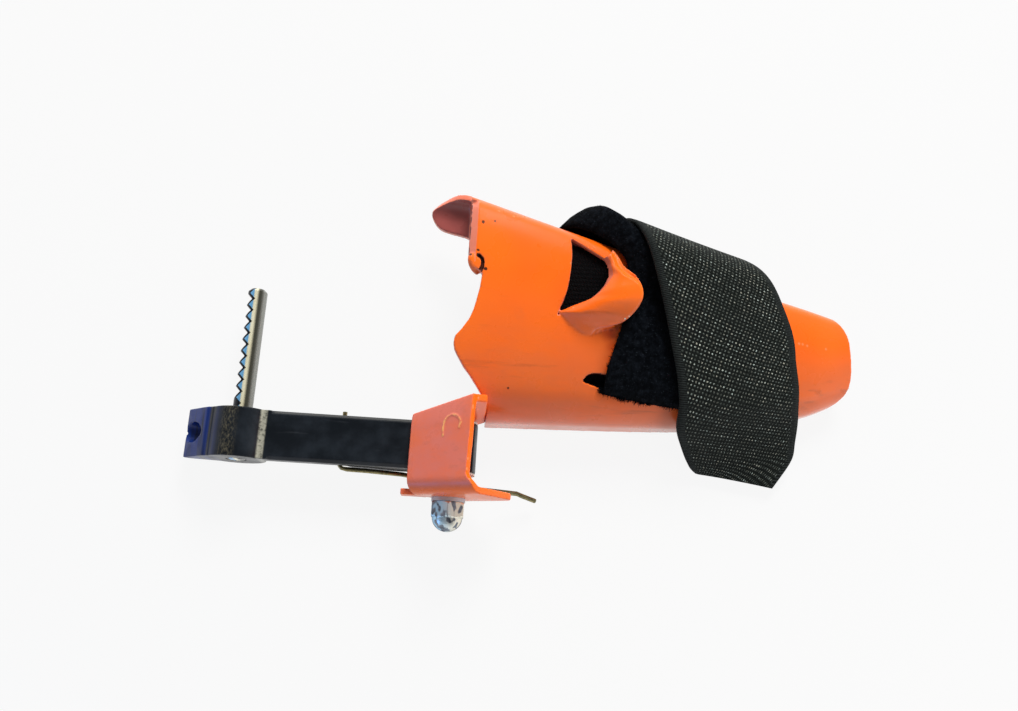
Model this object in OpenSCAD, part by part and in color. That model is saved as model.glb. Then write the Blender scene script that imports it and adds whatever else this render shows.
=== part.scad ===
/* [Cuff] */
// Reach of the cuff from the pivot bolt to its narrow end
cuff_reach = 169; // [150:1:200]
// Width of the cuff across its open back at the mouth
cuff_w = 94.5; // [85:0.5:105]
// Width of the cuff at its narrow end
cuff_end_w = 33; // [26:0.5:45]
// Height of the cuff's crest at the mouth
cuff_h = 41; // [37:0.5:46]
// Height of the cuff's crest at its narrow end
cuff_end_h = 19; // [16:0.5:26]
// Thickness of the steel sheet of the cuff and the bracket
sheet = 2.8; // [2:0.1:3]
// Outer radius of the rolled edge at the mouth
roll_r = 9.5; // [8:0.1:11]
// Width of the flange behind the rolled edge at the mouth
flange_w = 15; // [8:0.5:18]
// How far the tongue reaches past the pivot bolt
tongue_reach = 15.5; // [10:0.5:20]

/* [Bracket] */
// Tilt of the bracket's wall against the table
wall_tilt = 37.5; // [34:0.5:40]
// Distance from the bolt's axis to the outer face of the wall
wall_off = 18.2; // [17.5:0.1:20]
// Depth of the bracket's flanges from the outer face of the wall
flange_depth = 30; // [28:0.5:31]
// Reach of the wall from the bolt towards the cuff
wall_right = 24.5; // [20:0.5:28]
// Outer bend radius of the bracket
bend_r = 6.5; // [5:0.5:8]

/* [Arm] */
// Distance between the axes of the bolt and the toothed pin
arm_len = 87; // [70:1:105]
// Height of the arm along the bolt
arm_h = 20; // [16:0.5:24]
// Thickness of the arm at the bracket
arm_thick = 14; // [12:0.5:15]
// Thickness of the web between the arm's root and its boss
web_thick = 6.5; // [5:0.5:9]
// Radius of the boss round the toothed pin
boss_r = 12; // [9:0.25:12.25]
// Height of the bolt's axis above the table
axis_z = 12.8; // [12.5:0.1:13.5]

/* [Pin] */
// Diameter of the toothed pin
pin_d = 8; // [6:0.1:9]
// Length of the pin that stands above the boss
pin_up = 52.5; // [40:0.5:60]
// Pitch of the pin's teeth
tooth_pitch = 5; // [4:0.1:6]
// Depth of the pin's teeth
tooth_depth = 2.8; // [1.5:0.1:3]
// Number of notches above the boss
tooth_count = 9; // [5:1:9]

/* [Fasteners] */
// Diameter of the pivot bolt
bolt_d = 8; // [6:0.1:8.5]
// Outer diameter of the bush on the bolt
bush_d = 12; // [11:0.1:12.5]
// Size of the dome nut across its flats
nut_af = 13; // [11:0.5:14]
// Height of the dome nut
nut_h = 12; // [10:0.5:14]
// Diameter of the set screw
screw_d = 6; // [4:0.1:6.5]
// Length of the set screw
screw_len = 9; // [7:0.5:10]

/* [Spring] */
// Diameter of the spring's wire
wire_d = 2; // [1.6:0.1:2.2]
// Radius of the coil's centre line
coil_r = 8.5; // [8:0.1:9]

/* [Strap] */
// Width of the strap
strap_w = 51; // [44:1:56]
// Thickness of the strap
strap_t = 2; // [1.2:0.1:2.4]
// How far the free end hangs past the cuff's straight edge
strap_hang = 15.5; // [10:0.5:22]

/* [Fits] */
// Radial clearance of the turning and sliding fits
run_fit = 0.05; // [0.02:0.01:0.1]
// Clearance between parts that pass each other
air = 0.3; // [0.2:0.05:0.4]

/* [Hidden] */
$fn = 64;
far = 400;

// Colours of the finishes
orange = [0.95, 0.42, 0.13];
black = [0.13, 0.14, 0.16];
steel = [0.75, 0.75, 0.72];
zinc = [0.80, 0.70, 0.42];
cloth = [0.10, 0.11, 0.11];
nylon = [0.88, 0.87, 0.82];

// Stack along the bolt, upwards from the arm's middle
washer_t = 0.8;
seat_gap = 0.1;
arm_top = arm_h / 2;
deck_top = arm_top + washer_t + 2 * seat_gap;
coil_turns = 0.9;
coil_pitch = wire_d + 0.15;
leg_turns = 0.5;
leg_from = 1.4;
coil_stack = (leg_from + leg_turns) * coil_pitch + wire_d;
deck_low = arm_top + washer_t + coil_stack + 4 * seat_gap + air;
bracket_top = deck_top + sheet;
bracket_low = deck_low + sheet;
head_t = 2;
head_r = 7;
lock_t = 1.6;
lock_r = nut_af / 2 + 0.4;
nut_top = bracket_low + lock_t;
nut_end = nut_top + nut_h;

// The wall's near edge clears the top of the arm and stops it
stop_gap = air + 0.2;
wall_left = (arm_thick / 2 + stop_gap - (wall_off - sheet) * cos(wall_tilt)) / sin(wall_tilt);
flange_back = wall_off - flange_depth;
corner_r = 10;

// Cuff stations: share of the reach, narrowing on the straight and the rolled side, share of height lost
cuff_x0 = -6;
station_at = [0, 0.61, 0.89, 1];
low_share = [0, 0.07, 0.215, 0.345];
up_share = [-0.03, 0.43, 0.585, 0.655];
drop_share = [0, 0.4, 0.8, 1];
cuff_y0 = deck_top;
narrow = cuff_w - cuff_end_w;
knee_r_share = 0.51;
knee_z_share = 0.27;
knee_end = 112;
roll_start = 80;
roll_end = -85;
roll_z_share = 0.68;

function lerp(a, b, t) = a + (b - a) * t;
function unit(v) = v / norm(v);
function pol(r, a) = [r * cos(a), r * sin(a)];
function bez(a, b, c, d, t) =
    a * pow(1 - t, 3) + b * 3 * t * pow(1 - t, 2) + c * 3 * t * t * (1 - t) + d * pow(t, 3);
function bez_n(a, b, c, d, t) =
    let (v = (b - a) * pow(1 - t, 2) + (c - b) * 2 * t * (1 - t) + (d - c) * t * t, m = norm(v))
    [-v[1] / m, v[0] / m];

// Outline of the outer face at one station, as [y, z, normal y, normal z]
function cuff_line(yl, yu, h, k) =
    let (kr = knee_r_share * h, kz = knee_z_share * h, rb = roll_r * k,
         kc = [yl + kr, kz], rc = [yu - rb, roll_z_share * h],
         p0 = kc + pol(kr, knee_end), p3 = rc + pol(rb, roll_start),
         p1 = p0 + pol(0.42 * h, knee_end - 90), p2 = p3 - pol(0.48 * h, roll_start - 90),
         fe = rc + pol(rb, roll_end), fd = pol(1, roll_end - 90))
    concat(
        [for (i = [0:2]) [yl, kz * i / 3, -1, 0]],
        [for (i = [0:7]) let (a = lerp(180, knee_end, i / 7)) concat(kc + pol(kr, a), pol(1, a))],
        [for (i = [1:11]) concat(bez(p0, p1, p2, p3, i / 12), bez_n(p0, p1, p2, p3, i / 12))],
        [for (i = [0:12]) let (a = lerp(roll_start, roll_end, i / 12)) concat(rc + pol(rb, a), pol(1, a))],
        [for (i = [1:2]) concat(fe + fd * flange_w * k * i / 2, pol(1, roll_end))]);

function station_x(i) = cuff_x0 + (cuff_reach - cuff_x0) * station_at[i];
function station_line(i) =
    let (h = cuff_h - (cuff_h - cuff_end_h) * drop_share[i])
    cuff_line(cuff_y0 + narrow * low_share[i], cuff_y0 + cuff_w - narrow * up_share[i], h, h / cuff_h);
cuff_lines = [for (i = [0:3]) station_line(i)];
line_n = len(cuff_lines[0]);

// Point k of the outer face at any x, moved out along its normal
function span_of(x) = x < station_x(1) ? 0 : x < station_x(2) ? 1 : 2;
function cuff_at(x, k, out = 0) =
    let (s = span_of(x), t = (x - station_x(s)) / (station_x(s + 1) - station_x(s)),
         j = min(floor(k), line_n - 2), u = k - j,
         p = lerp(lerp(cuff_lines[s][j], cuff_lines[s + 1][j], t),
                  lerp(cuff_lines[s][j + 1], cuff_lines[s + 1][j + 1], t), u))
    [x, p[0] + p[2] * out, p[1] + p[3] * out];

// A closed sheet between two grids of points, rows along it and columns across it
module sheet_solid(over, under) {
    rows = len(over);
    cols = len(over[0]);
    m = rows * cols;
    pts = concat([for (r = over) for (p = r) p], [for (r = under) for (p = r) p]);
    function at(i, j) = i * cols + j;
    function quad(a, b, c, d) = [[a, b, c], [a, c, d]];
    faces = concat(
        [for (i = [0:rows - 2]) for (j = [0:cols - 2])
            each quad(at(i, j), at(i, j + 1), at(i + 1, j + 1), at(i + 1, j))],
        [for (i = [0:rows - 2]) for (j = [0:cols - 2])
            each quad(m + at(i, j), m + at(i + 1, j), m + at(i + 1, j + 1), m + at(i, j + 1))],
        [for (i = [0:rows - 2]) each quad(at(i, 0), at(i + 1, 0), m + at(i + 1, 0), m + at(i, 0))],
        [for (i = [0:rows - 2])
            let (a = at(i, cols - 1), b = at(i + 1, cols - 1)) each quad(b, a, m + a, m + b)],
        [for (j = [0:cols - 2]) each quad(at(0, j + 1), at(0, j), m + at(0, j), m + at(0, j + 1))],
        [for (j = [0:cols - 2])
            let (a = at(rows - 1, j), b = at(rows - 1, j + 1)) each quad(a, b, m + b, m + a)]);
    polyhedron(points = pts, faces = faces, convexity = 8);
}

module cuff_blank() {
    over = [for (k = [0:line_n - 1]) [for (i = [3:-1:0]) cuff_at(station_x(i), k)]];
    under = [for (k = [0:line_n - 1]) [for (i = [3:-1:0]) cuff_at(station_x(i), k, -sheet)]];
    sheet_solid(over, under);
}

// Everything stands with its origin under the middle of the whole part
min_x = -arm_len - 20.5;
max_y = cuff_y0 + cuff_w + 1.8;
mid_x = (min_x + cuff_reach) / 2;
mid_y = (max_y - nut_end) / 2;
module place() {
    translate([-mid_x, -mid_y, 0]) children();
}

// Plan of a point of the outer face
function plan_at(x, k) = let (p = cuff_at(x, k)) [p[0], p[1]];

// Outline of the mouth in plan, from the straight edge to the rolled edge, by places round the cuff
seam_x = 13;
nose = plan_at(-0.038 * seam_x, 12.63);
notch = plan_at(0.585 * seam_x, 17.55);
notch_r = 1.7;
arc_hollow = 7;
arc_start = 3;
arc_stop = 2;
mouth_arc = [for (i = [0:8]) let (t = i / 8)
    [lerp(nose[0], notch[0], t) + arc_hollow * t * (1 - t),
     lerp(nose[1] + arc_start, notch[1] - arc_stop, t)]];
lip_x = 0.369 * seam_x;
mouth = concat(
    [[seam_x, -5], plan_at(seam_x, 7.33), plan_at(0.938 * seam_x, 9.23),
     plan_at(0.492 * seam_x, 11.08), plan_at(0.2 * seam_x, 11.96), plan_at(0, 12.38)],
    [nose], mouth_arc,
    [plan_at(0.4 * seam_x, 17.67), plan_at(0.231 * seam_x, 17.93),
     plan_at(0.246 * seam_x, 18.36), plan_at(lip_x, 18.82), [lip_x, far]]);

// The strap lies along the cuff from here; what makes room for it is placed by shares of its width
slot_edge = 60;
function strap_x(share) = slot_edge + strap_w * share;

// Window behind the rolled edge, as [share along, place round the cuff]; the bridge spans its far half
window_marks = [[-0.318, 22.72], [-0.278, 21.44], [-0.271, 20.02], [-0.302, 17.96], [-0.398, 15.72],
    [-0.235, 15.15], [-0.059, 14.83], [0.118, 15.47], [0.206, 16.85], [0.196, 18.83], [0.137, 20.58],
    [0.029, 21.76]];
window = [for (m = window_marks) plan_at(strap_x(m[0]), m[1])];

// Gaps of the strap's layers, measured to the middle of the cloth
strap_gap = 0.35;
layer = strap_t + strap_gap;
inner_out = strap_gap + strap_t / 2;
outer_out = inner_out + layer;
inside_out = -sheet - inner_out;
lip_r = sheet / 2 + inner_out;

// Slot for the strap along the knee, cut square to the sheet; the strap rounds its upper lip
slot_side = 3;
slot_from = slot_edge - slot_side;
slot_to = strap_x(1) + slot_side;
slot_w = lip_r + strap_t / 2 + strap_gap;
slot_k0 = 10.63;
slot_k1 = 8.66;
function slot_k(x) = lerp(slot_k0, slot_k1, (x - slot_edge) / strap_w);
module slot_piece(x0, x1) {
    a = cuff_at(x0, slot_k(x0), -sheet / 2);
    b = cuff_at(x1, slot_k(x1), -sheet / 2);
    n = cuff_at(x0, slot_k(x0), 1) - cuff_at(x0, slot_k(x0), 0);
    d = b - a;
    turn = atan2(d[1], d[0]);
    side = [-sin(turn), cos(turn), 0];
    roll = atan2(-n * side, n * cross(unit(d), side));
    translate(a) rotate([0, 0, turn]) rotate([0, -atan2(d[2], norm([d[0], d[1]])), 0]) rotate([roll, 0, 0])
        translate([-0.2, -slot_w, -6]) cube([norm(d) + 0.4, slot_w, 12]);
}
module slot_cutter() {
    slot_piece(slot_from, station_x(1));
    slot_piece(station_x(1), slot_to);
}

module mouth_cutter() {
    translate([0, 0, -5]) linear_extrude(80)
        polygon(concat(mouth, [[-60, far], [-60, -5]]));
}

// The narrow end is trimmed to rounded corners
end_r = 7;
crown_r = 13;
module end_trim() {
    low = cuff_lines[3][0][0];
    x = station_x(2);
    side = cuff_lines[2][0][0];
    translate([0, 0, -5]) linear_extrude(80) {
        translate([-60, -20]) square([60 + x, 200]);
        hull() {
            translate([cuff_reach - end_r, low + end_r]) circle(end_r);
            translate([cuff_reach - crown_r, low + cuff_end_w - crown_r]) circle(crown_r);
            translate([x - 1, side - 0.5]) square([1, low + cuff_end_w + 5 - side]);
        }
    }
}

// Tongue: the rolled edge carried on past the mouth and opened into a lip, as [x, radius, shift, centre z]
roll_z = roll_z_share * cuff_h;
tongue_line = [[seam_x, roll_r, -4.2, roll_z - 1.1], [lip_x, roll_r + 0.3, -1.8, roll_z - 0.8],
    [0, roll_r + 1, 0.2, roll_z - 0.7], [-tongue_reach - 1, roll_r + 2, 1, roll_z - 1.4]];
tongue_from = -8;
tongue_to = -88;
tongue_flat = 6.5;
module tongue_sheet() {
    cy = cuff_y0 + cuff_w - narrow * up_share[0] * (1 - station_at[0]) - roll_r - 0.9;
    function arc(s, r, a) = [s[0], cy + s[2] + r * cos(a), s[3] + r * sin(a)];
    function row(r_in, a, flat) = [for (s = tongue_line) arc(s, s[1] - r_in, a) - [0, flat, 0]];
    angles = [for (i = [0:10]) lerp(tongue_from, tongue_to, i / 10)];
    function face(r_in) = concat([for (a = angles) row(r_in, a, 0)], [row(r_in, tongue_to, tongue_flat)]);
    sheet_solid(face(0), face(sheet));
}
tongue_plan = [[9, max_y - 23.3], [3, max_y - 18.3], [-3, max_y - 14.3], [-9, max_y - 10.3],
    [2 - tongue_reach, max_y - 7.3], [0.4 - tongue_reach, max_y - 5.6], [-tongue_reach, max_y - 4.3],
    [1 - tongue_reach, max_y - 2.5], [4.5 - tongue_reach, max_y - 1.7], [9.5 - tongue_reach, max_y - 0.8],
    [-3.5, max_y], [1, max_y], [5, max_y - 2], [9, max_y - 3.1]];

// Bridge: a strip pressed out of the sheet over the window's far half, near and far edges, as
// [share along, place round the cuff, share of its height out of it]
bridge_marks = [
    [[0, 22.48, 0.046], [0.069, 22.85, 0.049]],
    [[0.02, 21.22, 0.125], [0.129, 21.14, 0.174]],
    [[0.024, 20.19, 0.202], [0.216, 19.8, 0.267]],
    [[-0.029, 18.88, 0.236], [0.259, 18.39, 0.309]],
    [[-0.137, 17.58, 0.216], [0.245, 17.08, 0.296]],
    [[-0.265, 16.55, 0.175], [0.167, 16.04, 0.247]],
    [[-0.373, 15.84, 0.145], [0.039, 15.12, 0.181]],
    [[-0.382, 15.4, 0.132], [-0.059, 14.54, 0.15]]];
bridge_edges = [for (m = bridge_marks) [for (p = m) cuff_at(strap_x(p[0]), p[1], cuff_h * p[2])]];
module bridge_sheet() {
    drop = [0, 0, sheet];
    sheet_solid([for (e = bridge_edges) [e[0], e[1]]], [for (e = bridge_edges) [e[0] - drop, e[1] - drop]]);
}

module cuff_shell() {
    color(orange) place() {
        difference() {
            intersection() {
                cuff_blank();
                end_trim();
            }
            mouth_cutter();
            translate([0, 0, cuff_h * 0.58]) linear_extrude(60) polygon(window);
            slot_cutter();
            translate([notch[0], notch[1], 20]) cylinder(r = notch_r, h = 40);
        }
        intersection() {
            tongue_sheet();
            translate([0, 0, -5]) linear_extrude(80) polygon(tongue_plan);
        }
        bridge_sheet();
    }
}

// The wall's own frame: x along the wall towards the cuff, y along the bolt, z out of the wall
module on_wall() {
    translate([0, 0, axis_z]) rotate([0, -wall_tilt, 0]) children();
}

module along_bolt(low, high, r) {
    translate([0, low, axis_z]) rotate([-90, 0, 0]) cylinder(r = r, h = high - low);
}

module ring_on_bolt(low, high, outer, inner) {
    difference() {
        along_bolt(low, high, outer);
        along_bolt(low - 1, high + 1, inner);
    }
}

bolt_r = bolt_d / 2;
bush_r = bush_d / 2;

// Plan of the bracket seen along the bolt, with rounded back corners
small_corner = 4;
module flange_plan() {
    w = wall_right - wall_left;
    translate([wall_left + corner_r, flange_back]) square([w - corner_r - small_corner, flange_depth]);
    translate([wall_left, flange_back + corner_r]) square([w, flange_depth - corner_r]);
    translate([wall_left + corner_r, flange_back + corner_r]) circle(corner_r);
    translate([wall_right - small_corner, flange_back + small_corner]) circle(small_corner);
    translate([wall_right - small_corner, flange_back + small_corner])
        square([small_corner, corner_r - small_corner]);
}

// Section of the bracket: a channel with two bends of outer radius r
module channel(low, high, top, r) {
    translate([low, flange_back - 1]) square([high - low, top - r - flange_back + 1]);
    translate([low + r, flange_back - 1]) square([high - low - 2 * r, top - flange_back + 1]);
    for (y = [low + r, high - r]) translate([y, top - r]) circle(r);
}

module channel_bar(low, high, top, r, from, to) {
    translate([from, 0, 0]) rotate([90, 0, 90]) linear_extrude(to - from) channel(low, high, top, r);
}

table_gap = 0.4;
module pivot_bracket() {
    inner_r = bend_r - sheet;
    color(orange) place() difference() {
        intersection() {
            on_wall() difference() {
                channel_bar(-bracket_low, bracket_top, wall_off, bend_r, wall_left, wall_right);
                channel_bar(-deck_low, deck_top, wall_off - sheet, inner_r, wall_left - 1, wall_right + 1);
            }
            on_wall() translate([0, far / 2, 0]) rotate([90, 0, 0]) linear_extrude(far) flange_plan();
            union() {
                translate([-60, -60, table_gap]) cube([60 + seam_x, 120, 80]);
                translate([-60, -60, table_gap]) cube([120, 60, 80]);
            }
        }
        along_bolt(-far, far, bolt_r + run_fit);
    }
}

// Two beads along the seam where the bracket's flange meets the cuff's straight edge
bead_r = 2;
edge_bead_r = deck_top - arm_top - air;
bead_low = 1.5;
bead_high = 10.5;
module weld_beads() {
    wall_in = cuff_at(seam_x + bead_r, 1, -sheet)[1] + 0.03;
    color(orange) place() difference() {
        union() {
            translate([seam_x, deck_top, bead_low]) cylinder(r = edge_bead_r, h = bead_high - bead_low);
            translate([seam_x, bracket_top, bead_low]) cylinder(r = bead_r, h = bead_high - bead_low);
        }
        translate([seam_x - 10, deck_top, 0]) cube([20, sheet, 40]);
        translate([seam_x, deck_top + edge_bead_r, 0]) cube([10, wall_in - deck_top - edge_bead_r, 40]);
    }
}

module pivot_bolt() {
    color(steel) place() {
        along_bolt(bracket_top, bracket_top + head_t, head_r);
        along_bolt(-nut_end + 4.5, bracket_top + 1, bolt_r);
    }
}

module pivot_bush() {
    color(steel) place() ring_on_bolt(-deck_low, deck_top, bush_r, bolt_r + run_fit);
}

module thrust_washer(low, outer) {
    color(nylon) place() ring_on_bolt(low, low + washer_t, outer, bush_r + 2 * run_fit);
}

module thrust_washer_upper() {
    thrust_washer(arm_top + seat_gap, bush_r + 4);
}

module thrust_washer_lower() {
    thrust_washer(-arm_top - seat_gap - washer_t, coil_r + wire_d / 2 + 0.5);
}

module lock_washer() {
    color(steel) place() ring_on_bolt(-nut_top, -bracket_low, lock_r, bolt_r + run_fit);
}

// Hexagon under a smooth dome, with a blind bore
hex_share = 0.52;
nut_edge = nut_af / sqrt(3);
module dome_nut() {
    hex_h = nut_h * hex_share;
    dome_r = nut_h - hex_h;
    dome_w = nut_af / 2 - 0.3;
    color(steel) place() translate([0, -nut_top, axis_z]) rotate([90, 0, 0]) difference() {
        union() {
            intersection() {
                rotate(30) cylinder(r = nut_edge, h = hex_h, $fn = 6);
                rotate_extrude() polygon([[0, 0], [nut_af / 2 + 0.2, 0], [nut_edge + 0.05, 0.8],
                    [nut_edge + 0.05, hex_h - 0.8], [nut_af / 2 + 0.2, hex_h], [0, hex_h]]);
            }
            rotate_extrude() polygon(concat([[0, 1], [dome_w, 1]],
                [for (a = [0:10:90]) [dome_w * cos(a), hex_h + dome_r * sin(a)]]));
        }
        translate([0, 0, -1]) cylinder(r = bolt_r + run_fit, h = nut_h - 2.5);
    }
}

// Round wire swept along a path
wire_sides = 8;
function path_dir(p, i) = unit(p[min(i + 1, len(p) - 1)] - p[max(i - 1, 0)]);
module wire(path, d) {
    n = len(path);
    function ring(i) = let (t = path_dir(path, i), a = unit(cross(t, [0.02, 1, 0.03])), b = cross(t, a))
        [for (j = [0:wire_sides - 1]) let (q = pol(d / 2, j * 360 / wire_sides))
            path[i] + a * q[0] + b * q[1]];
    pts = [for (i = [0:n - 1]) each ring(i)];
    function at(i, j) = i * wire_sides + (j % wire_sides);
    faces = concat(
        [for (i = [0:n - 2]) for (j = [0:wire_sides - 1])
            [at(i, j), at(i + 1, j), at(i + 1, j + 1), at(i, j + 1)]],
        [[for (j = [0:wire_sides - 1]) at(0, j)], [for (j = [wire_sides - 1:-1:0]) at(n - 1, j)]]);
    polyhedron(points = pts, faces = faces, convexity = 6);
}

// Height of the coil's wire along the bolt after so many turns, from the bottom
coil_base = -deck_low + wire_d / 2 + seat_gap;
function coil_y(turns) = coil_base + coil_pitch * turns;
function coil_pt(angle, turns) = [coil_r * cos(angle), coil_y(turns), axis_z + coil_r * sin(angle)];

// The still end leaves the coil at this angle and runs out over the bracket's back edge
still_angle = 64.5;
still_reach = 27;
still_tail = 9;
still_drop = 2.2;
module torsion_spring() {
    a0 = still_angle;
    steps = 30;
    dir = [cos(a0 - 90), 0, sin(a0 - 90)];
    start = coil_pt(a0, 0);
    bent = [0, -still_drop, 0];
    leg = [start + dir * (still_reach + still_tail) + bent,
        start + dir * (still_reach + wire_d) + 0.27 * bent,
        start + dir * still_reach, start + dir * (still_reach / 2), start + dir * (2 * wire_d)];
    coil = [for (i = [0:steps]) coil_pt(a0 + 360 * coil_turns * i / steps, coil_turns * i / steps)];
    color(zinc) place() wire(concat(leg, coil), wire_d);
}

// The moving end goes on round the coil, along the arm and up behind it
hook_x = 45.2;
hook_top = arm_top + 2.6;
module spring_leg() {
    a1 = 270 - 360 * leg_turns;
    steps = 20;
    web_low = axis_z + arm_thick / 2 - web_thick;
    tail_z = web_low - wire_d / 2 - air;
    out_y = coil_y(leg_from + leg_turns);
    coil = [for (i = [0:steps]) coil_pt(a1 + 360 * leg_turns * i / steps, leg_from + leg_turns * i / steps)];
    leg = [[-8, out_y, axis_z - coil_r], [-20, out_y, axis_z - coil_r + 1.6], [-34, out_y, tail_z - 1.2],
        [-hook_x + 3, out_y, tail_z], [-hook_x + 1, out_y + 0.4, tail_z], [-hook_x, out_y + 2.4, tail_z],
        [-hook_x, 0, tail_z], [-hook_x, hook_top, tail_z]];
    color(zinc) place() wire(concat(coil, leg), wire_d);
}

// The arm seen along the bolt: root, web, boss and nose
heel_r = 14;
eye_wall = 1;
root_x = 38.5;
step_run = 4;
pin_r = pin_d / 2;
nose_x = arm_len + 20.5;
nose_half = 6.2;
root_top = axis_z + arm_thick / 2;
root_low = axis_z - arm_thick / 2;
groove_r = 3;

module root_plan() {
    intersection() {
        translate([-root_x, root_low]) square([root_x + heel_r + 5, arm_thick]);
        union() {
            translate([0, axis_z]) circle(heel_r);
            translate([-root_x - 1, 0]) square([root_x + 1, 60]);
        }
    }
    translate([0, axis_z]) circle(bush_r + eye_wall);
}

module web_plan() {
    polygon([[2 - root_x, root_low], [-root_x, root_low], [-root_x - step_run, root_top - web_thick],
        [-arm_len, root_top - web_thick], [-arm_len, root_top], [2 - root_x, root_top]]);
}

module nose_plan() {
    polygon([[-arm_len, axis_z - boss_r + 1.6], [2 - nose_x, axis_z - nose_half],
        [-nose_x, axis_z - nose_half + 2], [-nose_x, axis_z - 3.5],
        [9.5 - nose_x, axis_z + 7], [11 - nose_x, axis_z + 7.6], [-arm_len, axis_z + 8]]);
}

module across_arm(half) {
    translate([0, half, 0]) rotate([90, 0, 0]) linear_extrude(2 * half) children();
}

module arm_body() {
    across_arm(arm_top) root_plan();
    across_arm(arm_top) web_plan();
    across_arm(arm_top) translate([-arm_len, axis_z]) circle(boss_r);
    across_arm(arm_top) nose_plan();
}

module pin_hole(low, high, r) {
    translate([-arm_len, low, axis_z]) rotate([-90, 0, 0]) cylinder(r = r, h = high - low);
}

// The bar's upper edges are chamfered so that they pass the bend inside the bracket
edge_cut = 1.5;
module swing_arm() {
    color(black) place() difference() {
        arm_body();
        across_arm(arm_top + 1) translate([-arm_len - boss_r - 0.4, axis_z + 9]) circle(groove_r);
        for (y = [-arm_top, arm_top])
            translate([-arm_len / 2 + 10, y, axis_z + arm_thick / 2]) rotate([45, 0, 0])
                cube([arm_len - 7, edge_cut * sqrt(2), edge_cut * sqrt(2)], center = true);
        along_bolt(-far, far, bush_r + run_fit);
        pin_hole(-far, far, pin_r + run_fit);
        translate([-nose_x - 5, 0, axis_z]) rotate([0, 90, 0])
            cylinder(r = screw_d / 2 + run_fit, h = nose_x - arm_len + 5);
    }
}

// Notched rod; the notches face the set screw and carry on inside the boss
module toothed_pin() {
    chamfer = 1.2;
    color(steel) place() difference() {
        translate([-arm_len, -arm_top, axis_z]) rotate([-90, 0, 0]) rotate_extrude()
            polygon([[0, 0], [pin_r - chamfer / 2, 0], [pin_r, chamfer / 2],
                [pin_r, arm_h + pin_up - chamfer], [pin_r - chamfer, arm_h + pin_up],
                [0, arm_h + pin_up]]);
        for (i = [0:tooth_count - 1])
            translate([-arm_len - pin_r, arm_top + pin_up - 5 - tooth_pitch * i, axis_z]) rotate(45)
                cube([tooth_depth * sqrt(2), tooth_depth * sqrt(2), 3 * pin_d], center = true);
    }
}

// Slotted grub screw that clamps the pin from the nose
module set_screw() {
    tip_x = -arm_len - pin_r - 0.1;
    slot_d = 1.8;
    color(steel) place() difference() {
        translate([tip_x, 0, axis_z]) rotate([0, -90, 0]) rotate_extrude()
            polygon([[0, 0], [screw_d / 2 - 1, 0], [screw_d / 2, 1], [screw_d / 2, screw_len - 0.5],
                [screw_d / 2 - 0.5, screw_len], [0, screw_len]]);
        translate([tip_x - screw_len, 0, axis_z]) rotate([38, 0, 0])
            cube([2 * slot_d, 2 * screw_d, 1.1], center = true);
    }
}

// The strap is wound round the front of the cuff: along the flange, over the rolled edge, down the
// front, in through the slot, up behind the front, round the flange again and down to its free end.
// A row is one line across the strap; u runs from its near edge (0) to its far edge (1).
columns = [0, 0.25, 0.5, 0.75, 1];
last_k = line_n - 1;

// Value at k from a list of [k, value], smoothly joined
function smooth(t) = t * t * (3 - 2 * t);
function find(list, k, i = 0) = i >= len(list) - 2 || k <= list[i + 1][0] ? i : find(list, k, i + 1);
function follow(list, k) =
    let (i = find(list, k), a = list[i], b = list[i + 1], t = max(0, min(1, (k - a[0]) / (b[0] - a[0]))))
    lerp(a[1], b[1], smooth(t));

// Near edge, bulge and skew of each layer in shares of the strap's width, against the place round
// the cuff, and how the bulge is shared out across the strap
inner_edge = [[10, 0], [12, 0.01], [14, 0.059], [18, 0.147], [21, 0.147], [23, 0.078], [25, -0.059],
    [27, -0.225], [29.5, -0.392], [32, -0.441], [36, -0.422]];
inner_bulge = [[9, 0.012], [14, 0.006], [19, 0], [22, 0.088], [25, 0.206], [28, 0.294], [31, 0.235],
    [33.5, 0.098], [36, 0.01]];
inner_share = [[0, 0.15], [0.1, 0.72], [0.2, 1], [0.28, 0.85], [0.36, 0.62], [0.6, 0.5], [1, 0.3]];
outer_edge = [[9, 0.618], [12, 0.578], [15, 0.51], [18, 0.431], [21, 0.343], [24, 0.245], [27, 0.147],
    [30, 0.059], [36, -0.039]];
outer_bulge = [[9, 0.012], [15, 0.039], [21, 0.127], [24, 0.186], [28, 0.202], [33, 0.108], [36, 0.02]];
outer_share = [[0, 1], [0.5, 0.9], [1, 0.8]];
outer_skew = [[9, 0.01], [14, 0.039], [18, 0.088], [22, 0.069], [26, 0], [36, -0.039]];
no_skew = [[0, 0], [1, 0]];
function layer_pt(edges, bulges, shares, skews, out, k, u) =
    cuff_at(strap_x(follow(edges, k) + u + follow(skews, k) * u), k,
            out + strap_w * follow(bulges, k) * follow(shares, u));
function inner_row(k) =
    [for (u = columns) layer_pt(inner_edge, inner_bulge, inner_share, no_skew, inner_out, k, u)];
function outer_row(k) =
    [for (u = columns) layer_pt(outer_edge, outer_bulge, outer_share, outer_skew, outer_out, k, u)];

// A row of the inner layer that runs beside the slot, so far over it round the cuff
function slot_row(d) = [for (u = columns)
    layer_pt(inner_edge, inner_bulge, inner_share, no_skew, inner_out, slot_k(strap_x(u)) + d, u)];

// Round the slot's upper lip, from outside at 0 to inside at 180
function lip_pt(angle, u) =
    let (x = strap_x(u), k = slot_k(x), p = cuff_at(x, k, 0), q = cuff_at(x, k + 1, 0),
         along = unit(p - q), n = unit(cuff_at(x, k, 1) - p))
    p - n * sheet / 2 + (n * cos(angle) + along * sin(angle)) * lip_r;
function lip_row(angle) = [for (u = columns) lip_pt(angle, u)];

// Inside run: from the slot up behind the front, back over the flange and round its free edge
inside_edge = [[11, -0.02], [14, -0.314], [17, -0.412], [21, -0.392]];
inside_end = 20.5;
function inside_row(k) = [for (u = columns) cuff_at(strap_x(follow(inside_edge, k) + u), k, inside_out)];
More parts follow.
